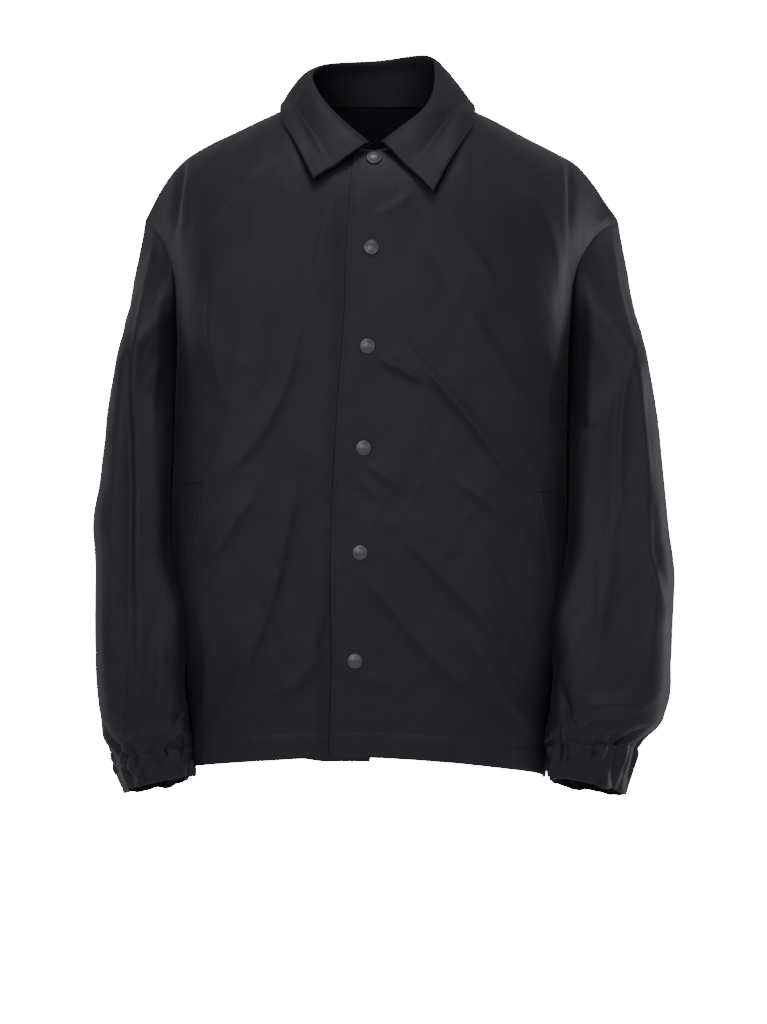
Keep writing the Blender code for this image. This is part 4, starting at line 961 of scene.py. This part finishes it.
def sleeve_form(loop, table, side):
    """A sleeve's plain form: rings read by height, from the armhole's loop down to the cuff's upper ring."""
    top_z, _, _, rise_y = CUFF_PLANE[side]
    ends = leaned(tube_point(column_share, *CUFF_TOP[side]), top_z, *CUFF_TOP[side])
    middle = ends.mean(axis=0)
    z_end = top_z + SEAM_RISE[side] * (ends[:, 0] - middle[0]) + rise_y * (ends[:, 1] - middle[1])
    # the rows lie closer towards the cuff
    steps = np.linspace(0, 1, SLEEVE_ROWS + 1)
    steps = steps + 0.16 * np.sin(math.pi * steps) * steps
    grid = np.zeros((SLEEVE_ROWS + 1, SLEEVE_COLS, 3))

    def ring_at(z):
        sizes = [read(table, z, k) for k in (1, 2, 3, 4)]
        # the cloth hangs forward, and beside the pressed-in body its inner side lies closer
        sizes[2] = sizes[2] - HUNG_FORWARD * smooth(-z, 0.16, 0.30) * (1 - smooth(-z, 0.59, 0.65))
        beside = smooth(-z, 0.22, 0.30) * (1 - smooth(-z, 0.50, 0.58))
        sizes[1] = sizes[1] + INNER_CLOSER * np.sign(sizes[1] - sizes[0]) * beside
        square = 2.4 + 2.8 * smooth(-z, 0.13, 0.28) * (1 - 0.5 * smooth(-z, 0.50, 0.62))
        return leaned(tube_point(column_share, *sizes, square), z, *sizes)

    start = ring_at(loop[:, 2])
    # the end pouches over the cuff, most at the front and outer side
    pouch = POUCH[side] * (0.55 + 0.45 * np.sin(2 * math.pi * (column_share + 0.06)))
    for r, step in enumerate(steps):
        hang = float(smooth(step, 0.925, 0.975) * (1 - smooth(step, 0.978, 1.0)))
        z = loop[:, 2] + (z_end - loop[:, 2]) * step - pouch * hang
        ring = ring_at(z)
        ring = ring + unit(ring - ring.mean(axis=0)) * (pouch * hang * 0.7)[:, None]
        near = (1 - smooth(step, 0.0, 0.20)) * (1 - 0.3 * smooth(step, 0, 0.1))
        flat = ring + (loop[:, :2] - start) * near
        close = smooth(step, 0.945, 1.0) * (r > 0)
        grid[r] = np.concatenate([flat + (ends - flat) * close, z[:, None]], axis=1)
    return grid, steps


sleeve_grids = {}
for side, table, folds in (("right", RING_RIGHT, SLEEVE_RIGHT_FOLDS), ("left", RING_LEFT, SLEEVE_LEFT_FOLDS)):
    seed = SLEEVE_SEED[side]
    loop, loop_out = loops[side]
    form, steps = sleeve_form(loop, table, side)
    out = tube_out(form)
    x, z = form[..., 0], form[..., 2]
    to_front, to_rear = smooth(-out[..., 1], 0.02, 0.40), smooth(out[..., 1], 0.02, 0.40)
    rear = REAR_FOLDS
    if side == "left":
        aside, up = REAR_SHIFT
        rear = [
            (wide, high, -steep, *(v + up if k % 2 else aside - v for k, v in enumerate(line)))
            for wide, high, steep, *line in rear
        ]
    height = placed_folds(x, z, folds, 2.2) * to_front + placed_folds(x, z, rear, 2.4) * to_rear
    # eased over three columns, so that a narrow crease doesn't jump from one to the next
    height = (np.roll(height, 1, axis=1) + 2 * height + np.roll(height, -1, axis=1)) / 4
    # the cloth is measured from the underarm seam
    half = SLEEVE_COLS // 2
    u, v = (np.roll(part, -half, axis=1) for part in measured(np.roll(form, half, axis=1)))
    span = u.max(axis=1, keepdims=True)
    edge = np.minimum(u, span - u)
    for high, more, apart, long, lean in SLEEVE_SOFT:
        height += high * soft_folds(u, v, seed + more, apart, long, lean)
    height += 0.00016 * crumple(u, v, seed + 7)
    # folds end at the seams, and are lower near the cuff and on the side that hangs against the body
    down = steps[:, None]
    height = height * smooth(v, 0.0, 0.022) * smooth(edge, 0.0, 0.015) * (1 - 0.4 * smooth(down, 0.93, 1.0))
    height *= 1 - 0.6 * np.exp(-(((column_share - 0.5) / 0.10) ** 2))
    # creases run up from the cuff's stitches, each at its own lean and to its own height
    from_cuff = v[-1:] - v
    creases = gathered(u / span * span[-1], from_cuff, span[-1, 0], seed + 13, CREASES, 0.018, 0.060)
    height += creases * smooth(from_cuff, -0.004, 0.004)
    reach = 0.030 + 0.016 * rough(column_share[None] * 17, 0 * column_share[None], seed + 15)
    swell = 0.0012 * gathers(column_share, 15, seed % 7)[None]
    height += swell * np.exp(-((from_cuff / reach) ** 2))
    height = height + sunk(v, 0.0014, 0.0028) + sunk(from_cuff, 0.0010, 0.0022) + sunk(edge, 0.0010, 0.0022)
    out[0] = loop_out
    grid = form + out * height[..., None]
    closed_loop = np.concatenate([loop[-1:], loop, loop[:1]])
    closed_out = np.concatenate([loop_out[-1:], loop_out, loop_out[:1]])
    toward = np.array((1.0 if side == "left" else -1.0, 0.0, 0.0))
    grid[0] += off_seam(closed_loop, closed_out, toward)[1:-1]
    sleeve_grids[side] = (grid, out, form, u[-1:], span[-1, 0])

# Elastic cuffs
# A 28 mm casing of the same cloth, folded double over flat elastic that draws it into uneven gathers, sewn to
# the sleeve's lower end.
CUFF_ROWS = 26
CUFF_DEEP = 0.028
CUFF_THICK = 0.0016
cuff_cloth = woven_nylon("gathered black nylon")
sleeve_cloth = woven_nylon("sleeve black nylon")
for side, seed in (("right", 3), ("left", 5)):
    sleeve_grid, sleeve_out, form, ring_u, girth = sleeve_grids[side]
    _, low, rise_x, rise_y = CUFF_PLANE[side]
    lower = leaned(tube_point(column_share, *CUFF_LOW[side]), low, *CUFF_LOW[side], 0.014)
    middle = lower.mean(axis=0)
    low_z = low + rise_x * (lower[:, 0] - middle[0]) + rise_y * (lower[:, 1] - middle[1])
    step = np.concatenate([np.linspace(0, 0.955, CUFF_ROWS - 3), [0.98, 0.992, 1.0]])[:, None]
    top_ring = form[-1]
    casing = np.concatenate([
        top_ring[None, :, :2] * (1 - step[..., None]) + lower[None] * step[..., None],
        (top_ring[None, :, 2] * (1 - step) + low_z[None] * step)[..., None],
    ], axis=2)
    casing_out = tube_out(casing)
    down = np.broadcast_to(step, casing.shape[:2])
    fall = down * CUFF_DEEP
    swell = 0.0005 * np.sin(math.pi * np.clip(down * 0.96 + 0.02, 0, 1)) ** 0.6
    folds = gathers(column_share, 13, seed)[None] * (0.0005 + 0.0006 * down)
    # the sleeve's own creases run on, and others run up from the lower edge
    creases = gathered(ring_u, fall, girth, SLEEVE_SEED[side] + 13, CREASES, 0.012, 0.036)
    creases += gathered(ring_u, CUFF_DEEP - fall, girth, 240 + seed, 15, 0.008, 0.022) * 0.7
    ruffle = 0.0010 * rough(column_share[None] * 19, 0 * column_share[None], 210 + seed) * down**2
    height = swell + folds + creases * smooth(down, -0.06, 0.06) + ruffle + sunk(fall, 0.0010, 0.0014)
    height += rounded_edge((1 - down) * CUFF_DEEP, 0.0014)
    # at the stitches both take one direction, and the creases run on across them
    both = unit(sleeve_out[-1] + casing_out[0])
    sleeve_out[-1] = casing_out[0] = both
    dip = -0.0008 + 0.8 * creases[0]
    drop = 0.0016 * rough(column_share * 21, 0 * column_share, 230 + seed)
    casing = casing + casing_out * height[..., None]
    casing[..., 2] += drop[None] * down**2
    sleeve_grid[-1] = form[-1] + both * dip[:, None] + (0.0, 0.0, SEAM_HALF)
    casing[0] = form[-1] + both * dip[:, None] - (0.0, 0.0, SEAM_HALF)
    sleeve = shell("sleeve_" + side + "_shell", sleeve_grid, sleeve_out, sleeve_cloth, around=True)
    cuff = shell("cuff_" + side + "_casing", casing, casing_out, cuff_cloth, CUFF_THICK, around=True)
    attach(sleeve, "root")
    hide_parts(f"sleeve_{side}_upper", f"sleeve_{side}_lower")
    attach(cuff, "root")
    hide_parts("cuff_" + side)

# The collar
# A two-layer shirt collar with a firm interlining: it stands up inside the neck seam, rolls over and lies
# down on the fronts in two points. Its seam edge is hidden inside the neck.
# From the picture-left end round the back: share, roll line x, y, z, outer edge x, y, z
COLLAR = (
    (-1.00, -0.0075, -0.0865, -0.0400, -0.0640, -0.1075, -0.0825),
    (-0.86, -0.0265, -0.0790, -0.0240, -0.0742, -0.0935, -0.0640),
    (-0.70, -0.0465, -0.0605, -0.0040, -0.0850, -0.0690, -0.0415),
    (-0.50, -0.0640, -0.0280, 0.0220, -0.0950, -0.0345, -0.0140),
    (-0.36, -0.0685, 0.0060, 0.0400, -0.0975, 0.0080, 0.0090),
    (-0.18, -0.0540, 0.0450, 0.0550, -0.0790, 0.0650, 0.0140),
    (0.00, 0.0000, 0.0640, 0.0610, 0.0000, 0.0960, 0.0150),
    (0.18, 0.0510, 0.0460, 0.0640, 0.0780, 0.0650, 0.0140),
    (0.36, 0.0600, 0.0060, 0.0420, 0.0960, 0.0080, 0.0090),
    (0.50, 0.0575, -0.0300, 0.0190, 0.0940, -0.0345, -0.0170),
    (0.70, 0.0440, -0.0605, -0.0050, 0.0812, -0.0700, -0.0475),
    (0.86, 0.0220, -0.0790, -0.0240, 0.0680, -0.0950, -0.0710),
    (1.00, 0.0030, -0.0865, -0.0390, 0.0550, -0.1090, -0.0965),
)
COLLAR_COLS = 181
COLLAR_THICK = 0.0016
BACK_SHARE = 0.47  # share of the collar, each way, that is sewn to the back
LEAF_ROW = 30  # a row that lies on the leaf
CLOSE = 0.014  # the leaf is kept clear of cloth nearer than this
MOST_LIFT = 0.009  # in one of the two passes
share = np.linspace(-1, 1, COLLAR_COLS)
# columns close up at both ends so that the folded edges can round off
for k, near in enumerate((0.0, 0.0025, 0.006, 0.011)):
    share[k], share[-1 - k] = -1 + near, 1 - near


def neck_places(line, shares):
    """Points along a front's neck edge: the placket's 20 mm takes the first seventh."""
    along = lengths(line)
    return placed_at(np.interp(shares, [0.0, 1 / 7, 1.0], [0.0, OVERLAP, along[-1]]), along, line)


on_neck = np.abs(DENSE) <= NECK_SHARE + 1e-9
front_top, back_top = top_line("front"), top_line("back")
behind = 1 - smooth(np.abs(share), 0.36, 0.52)
seam = np.where(
    (np.abs(share) <= BACK_SHARE)[:, None],
    spaced(back_top[on_neck], (share + BACK_SHARE) / (2 * BACK_SHARE)),
    np.where(
        (share < 0)[:, None],
        neck_places(front_top[on_neck & (DENSE <= 0)][::-1], np.clip((share + 1) / (1 - BACK_SHARE), 0, 1)),
        neck_places(front_top[on_neck & (DENSE >= 0)], np.clip((1 - share) / (1 - BACK_SHARE), 0, 1)),
    ),
)
seam[:, 2] += 0.0012 + 0.0018 * smooth(-share, 0.62, 0.80) - 0.0050 * behind
# the ends stop just short of the snap line
seam[:, 0] += 0.0065 * smooth(share, 0.962, 1.0) - 0.0035 * smooth(-share, 0.962, 1.0)
roll, leaf = (np.stack([read(COLLAR, share, first + k) for k in range(3)], axis=1) for first in (1, 4))
away = unit(seam * (1, 1, 0))
# behind, the stand's foot reaches down inside the neck
seam -= away * 0.0018 * behind[:, None]
UP = np.array((0.0, 0.0, 1.0))
ribs = [seam + (roll - seam) * step - away * 0.0012 * step for step in (0.0, 0.35, 0.7)]
ribs += [roll - away * 0.0022 - UP * 0.0030, roll]
for step, swell in ((0.10, 0.0040), (0.30, 0.0052), (0.55, 0.0048), (0.80, 0.0026), (1.0, 0.0)):
    ribs.append(roll + (leaf - roll) * step + away * swell + UP * swell * 0.4)
ribs = np.array(ribs)


def between(rows, at):
    """A smooth surface through rows of points, read at places counted in rows: a cubic from row to row."""
    i = np.clip(np.floor(at).astype(int), 0, len(rows) - 2)
    return cubic(rows, np.gradient(rows, axis=0), i, (at - i)[:, None, None])


# Rows counted in ribs: close at the roll, and closing up at the outer edge so that it can round off
rows_at = np.concatenate([
    np.linspace(0, 3, 10)[:-1], np.linspace(3, 5, 13)[:-1], np.linspace(5, 8.85, 25),
    [8.92, 8.96, 8.985, 9.0],
])
collar = between(ribs, rows_at)
# The leaf rests a little off the fronts, the shoulders and the back: rows that lie closer are lifted off them
host_points, host_outs = (
    np.concatenate([grid[name][: ARM_ROWS + 12 : 2, ::2].reshape(-1, 3) for name in raised])
    for grid in (raised, outs)
)
on_leaf = np.flatnonzero(rows_at >= 4.8)


def evened(values):
    """Each value replaced by the mean of the nine about it."""
    return np.convolve(np.pad(values, 4, mode="edge"), np.ones(9) / 9, mode="valid")


for _ in range(2):
    for r in on_leaf:
        clear = 0.0048 + 0.0042 * smooth(np.abs(share), 0.62, 0.84) * smooth(rows_at[r], 6.0, 8.0)
        gap = np.sum((collar[r][:, None, :] - host_points[None, :, :]) ** 2, axis=2)
        nearest = np.argmin(gap, axis=1)
        rise = np.sum((collar[r] - host_points[nearest]) * host_outs[nearest], axis=1)
        near = np.sqrt(np.min(gap, axis=1)) < CLOSE
        short = np.where(near, np.clip(clear - rise, 0.0, MOST_LIFT), 0.0)
        move = host_outs[nearest] * (evened(short) * smooth(rows_at[r], 4.8, 6.2))[:, None]
        collar[r] = collar[r] + np.stack([evened(evened(move[:, k])) for k in range(3)], axis=1)
collar_out = facing_out(collar, (0.0, 0.0, 1.0))
collar_out = collar_out * np.sign(np.sum(collar_out[LEAF_ROW] * away))
collar_u, collar_v = measured(collar)
from_end = np.minimum(collar_u, collar_u[:, -1:] - collar_u)
from_edge = collar_v[-1:] - collar_v
on_the_leaf = smooth(rows_at, 4.5, 5.5)[:, None]
collar_height = 0.0006 * soft_folds(collar_u, collar_v, 301, 0.034, 0.09, 0.5) * on_the_leaf
collar_height = collar_height * smooth(from_edge, 0, 0.01)
collar_height *= smooth(from_end, 0.0, 0.012)
collar_height = collar_height + rounded_edge(from_end, 0.0014) + rounded_edge(from_edge, 0.0014)
collar += collar_out * collar_height[..., None]
collar_cloth = woven_nylon("interlined black nylon", 0.0)
collar_piece = shell("collar_leaf_and_stand", collar, collar_out, collar_cloth, COLLAR_THICK)
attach(collar_piece, "root")
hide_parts("collar")

# Pocket welts
# A slanted welt stands over each side pocket: a folded strip of the shell cloth, stitched down at both ends
# and beside the mouth.
# Corners seen from the front: x and z of upper inner, upper outer, lower inner and lower outer
WELTS = {
    "left": ((0.1517, -0.3865), (0.1780, -0.3850), (0.1700, -0.5240), (0.1795, -0.5420)),
    "right": ((-0.1707, -0.3780), (-0.1940, -0.3765), (-0.1910, -0.5150), (-0.1990, -0.5340)),
}
WELT_THICK = 0.0009
WELT_STITCH = 0.0075  # stitches beside the mouth


def grid_place(grid, x, z):
    """Row and column, with their parts, of the panel's point seen at x and z: the nearest point, then one
    linear step."""
    miss = (grid[1:-1, 1:-1, 0] - x) ** 2 + (grid[1:-1, 1:-1, 2] - z) ** 2
    r, c = np.unravel_index(np.argmin(miss), miss.shape)
    r, c = r + 1, c + 1
    down = (grid[r + 1, c] - grid[r - 1, c])[[0, 2]] / 2
    across = (grid[r, c + 1] - grid[r, c - 1])[[0, 2]] / 2
    step = np.linalg.solve(np.stack([down, across], axis=1), np.array((x, z)) - grid[r, c, [0, 2]])
    return np.array((r, c)) + np.clip(step, -0.6, 0.6)


def sampled(grid, place):
    """A grid's points or directions at rows and columns with parts, straight between its own."""
    r, c = place[..., 0], place[..., 1]
    i, j = np.floor(r).astype(int), np.floor(c).astype(int)
    a, b = (r - i)[..., None], (c - j)[..., None]
    near = grid[i, j] * (1 - b) + grid[i, j + 1] * b
    far = grid[i + 1, j] * (1 - b) + grid[i + 1, j + 1] * b
    return near * (1 - a) + far * a


welt_cloth = woven_nylon("folded black nylon")
for side, corners in WELTS.items():
    host = "front_" + side
    spots = np.array([grid_place(grids[host], *corner) for corner in corners])
    # down and across the strip, closer at its edges and at the mouth's end
    a = np.concatenate([
        [0, 0.003, 0.007, 0.011, 0.0135, 0.0155, 0.0175, 0.0205], np.linspace(0.025, 0.975, 84),
        [0.988, 0.996, 1.0],
    ])[:, None, None]
    b = np.concatenate([[0, 0.02, 0.06], np.linspace(0.12, 0.88, 22), [0.94, 0.98, 1.0]])[None, :, None]
    place = spots[0] * (1 - a) * (1 - b) + spots[1] * (1 - a) * b + spots[2] * a * (1 - b) + spots[3] * a * b
    welt_out = unit(sampled(outs[host], place))
    welt = sampled(raised[host], place)
    u, v = measured(welt)
    in_v = np.minimum(v, v[-1:] - v)
    # its long sides lie flush with the front, and the mouth's upper end shows as a groove
    from_inner = u if side == "left" else u[:, -1:] - u
    flush = 0.0004 - 0.0007 * (1 - smooth(from_inner, 0.0, 0.0120))
    height = flush - 0.0008 * (1 - smooth(in_v, 0.0, 0.0016))
    inside = smooth(from_inner, 0.0, 0.0015)
    lip = np.exp(-(((v - 0.0018) / 0.0030) ** 2)) * inside
    height = height + 0.0010 * lip - 0.0020 * np.exp(-(((v - 0.0023) / 0.0008) ** 2)) * inside
    welt += welt_out * height[..., None]
    piece = shell("pocket_welt_" + side + "_strip", welt, welt_out, welt_cloth, WELT_THICK)
    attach(piece, "root")
    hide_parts("pocket_welt_" + side)
    rows = range(9, len(u) - 6)
    at_u = [WELT_STITCH if side == "left" else u[r, -1] - WELT_STITCH for r in rows]
    beside, beside_out = (
        np.array([placed_at(s, u[r], part[r]) for r, s in zip(rows, at_u)]) for part in (welt, welt_out)
    )
    sewn = stitch_row("pocket_welt_" + side + "_stitches", beside, beside_out, thread)
    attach(sewn, "root")

# Snaps
# Six pressed brass caps, 15 mm across, lacquered in satin gunmetal: a slim rolled rim and a low dome.
SNAP_Z = (-0.0564, -0.1478, -0.2450, -0.3451, -0.4478, -0.5546)
# Radius and rise in mm, from the foot of the rim to the crown
SNAP_PROFILE = (
    (6.2, 0.00), (7.1, 0.15), (7.45, 0.55), (7.50, 0.95), (7.40, 1.35), (7.15, 1.66), (6.80, 1.82),
    (6.50, 1.86), (6.25, 1.90), (5.95, 1.98), (5.40, 2.16), (4.70, 2.41), (3.80, 2.68), (2.70, 2.92),
    (1.40, 3.08), (0.50, 3.12),
)
SNAP_CROWN = 0.00313
SNAP_SUNK = 0.0001  # the cloth gives way a little under a cap
SNAP_TURNS = 56


def gunmetal_lacquer():
    """Satin gunmetal lacquer over pressed brass: mid grey with a soft, broad gleam, finely mottled."""
    made, tree, place = finish("satin gunmetal lacquer", {"Metallic": 0.75})
    grain = noise(tree, place["Object"], 900.0, 3.0)
    coloured(tree, grain, "#45444A", "#57565C")
    gloss = add(tree, "ShaderNodeMapRange", {"Value": grain, "To Min": 0.34, "To Max": 0.46})
    feed(tree, "Roughness", gloss.outputs[0])
    bump = add(tree, "ShaderNodeBump", {"Strength": 0.15, "Distance": 0.0001, "Height": grain})
    feed(tree, "Normal", bump.outputs[0])
    return made


lacquer = gunmetal_lacquer()
for number, z in enumerate(SNAP_Z, 1):
    place = grid_place(grids["front_left"], float(read(SNAP_LINE, z, 1)), z)
    centre = sampled(raised["front_left"], place)
    axis = unit(sampled(outs["front_left"], place))
    # the cap stands on the cloth's crests: four fifths of what lies under it are lower
    side = unit(np.cross((0.0, 0.0, 1.0), axis))
    up = np.cross(axis, side)
    near = raised["front_left"].reshape(-1, 3) - centre
    under = near[np.hypot(near @ side, near @ up) < 0.0078]
    centre = centre + axis * (np.percentile(under[np.abs(under @ axis) < 0.01] @ axis, 80) - SNAP_SUNK)
    radius, rise = np.array(SNAP_PROFILE).T / 1000
    angle = 2 * math.pi * np.arange(SNAP_TURNS) / SNAP_TURNS
    ring = side[None] * np.cos(angle)[:, None] + up[None] * np.sin(angle)[:, None]
    points = centre + ring[None] * radius[:, None, None] + axis * rise[:, None, None]
    points = np.concatenate([points.reshape(-1, 3), [centre + axis * SNAP_CROWN, centre]])
    r, c = np.meshgrid(np.arange(len(radius) - 1), np.arange(SNAP_TURNS), indexing="ij")
    d = (c + 1) % SNAP_TURNS
    a, b, e, f = (r * SNAP_TURNS + c, r * SNAP_TURNS + d, (r + 1) * SNAP_TURNS + d, (r + 1) * SNAP_TURNS + c)
    faces = np.concatenate([np.stack([a, b, e], -1).reshape(-1, 3), np.stack([a, e, f], -1).reshape(-1, 3)])
    k = np.arange(SNAP_TURNS)
    n = (k + 1) % SNAP_TURNS
    last = (len(radius) - 1) * SNAP_TURNS
    crown, foot = len(points) - 2, len(points) - 1
    faces = np.concatenate([
        faces, np.stack([last + k, last + n, 0 * k + crown], -1), np.stack([n, k, 0 * k + foot], -1),
    ])
    cap = solid(f"snap_{number}_cap", points, wound_out(points, faces), None, lacquer)
    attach(cap, "root")
    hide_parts(f"snap_{number}")

# Studio
# A white room, as plain as the photograph's: the backdrop burns out to white behind the dark cloth, while
# only part of that light falls on it. Two soft boxes stand in front, one at each side, and one hangs above.
FLOOR_Z = -1.35
FLOOR_RADIUS = 2.5
ON_CLOTH = 0.38  # strength of the room's light as it falls on the cloth
ON_BACKDROP = 22.0  # and as the camera sees it
floor_mesh = bpy.data.meshes.new("studio_floor")
turn = np.linspace(0, 2 * math.pi, 65)[:-1]
rim = [(FLOOR_RADIUS * math.cos(t), FLOOR_RADIUS * math.sin(t), FLOOR_Z) for t in turn]
floor_mesh.from_pydata(rim, [], [tuple(range(len(rim)))])
floor = bpy.data.objects.new("studio_floor", floor_mesh)
bpy.context.scene.collection.objects.link(floor)
floor_paint, *_ = finish("pale matt floor paint", {"Base Color": linear("#F6F6F6"), "Roughness": 0.9})
floor_mesh.materials.append(floor_paint)

world = bpy.data.worlds.new("white studio")
bpy.context.scene.world = world
world.use_nodes = True
walls = world.node_tree.nodes["Background"]
walls.inputs["Color"].default_value = (1.0, 1.0, 1.0, 1.0)
seen = add(world.node_tree, "ShaderNodeLightPath")
strength = add(world.node_tree, "ShaderNodeMapRange",
               {"Value": seen.outputs["Is Camera Ray"], "To Min": ON_CLOTH, "To Max": ON_BACKDROP})
world.node_tree.links.new(strength.outputs[0], walls.inputs["Strength"])


def soft_box(name, place, aim, power, size):
    """A rectangular area lamp aimed at a point."""
    lamp = bpy.data.lights.new(name, "AREA")
    lamp.energy = power
    lamp.shape = "RECTANGLE"
    lamp.size, lamp.size_y = size
    holder = bpy.data.objects.new(name, lamp)
    holder.location = place
    look = np.array(aim, float) - np.array(place, float)
    turn = math.atan2(look[1], look[0]) - math.pi / 2
    tilt = math.atan2(look[2], math.hypot(look[0], look[1])) + math.pi / 2
    holder.rotation_euler = (tilt, 0.0, turn)
    bpy.context.scene.collection.objects.link(holder)


MIDDLE = (0.0, 0.0, -0.35)
soft_box("key", (-1.0, -3.1, 0.6), MIDDLE, 33.0, (1.4, 1.4))
soft_box("fill", (1.2, -3.2, 0.2), MIDDLE, 13.0, (1.3, 1.3))
soft_box("above", (-0.1, -0.7, 2.2), MIDDLE, 25.0, (1.2, 0.6))
soft_box("side_left", (-2.3, 0.4, -0.5), MIDDLE, 10.0, (0.6, 1.8))
soft_box("side_right", (2.3, 0.4, -0.5), MIDDLE, 30.0, (0.6, 1.8))

LENS_MM = 120.6
SENSOR_MM = 36.0
CAMERA_PLACE = (0.0056, -3.5, -0.408)  # level with the garment's middle, a standing viewer's distance away
eye = bpy.data.cameras.new("camera")
eye.lens = LENS_MM
eye.sensor_width = SENSOR_MM
camera = bpy.data.objects.new("camera", eye)
camera.location = CAMERA_PLACE
camera.rotation_euler = (math.pi / 2, 0.0, 0.0)
bpy.context.scene.collection.objects.link(camera)
bpy.context.scene.camera = camera

bpy.context.view_layer.update()
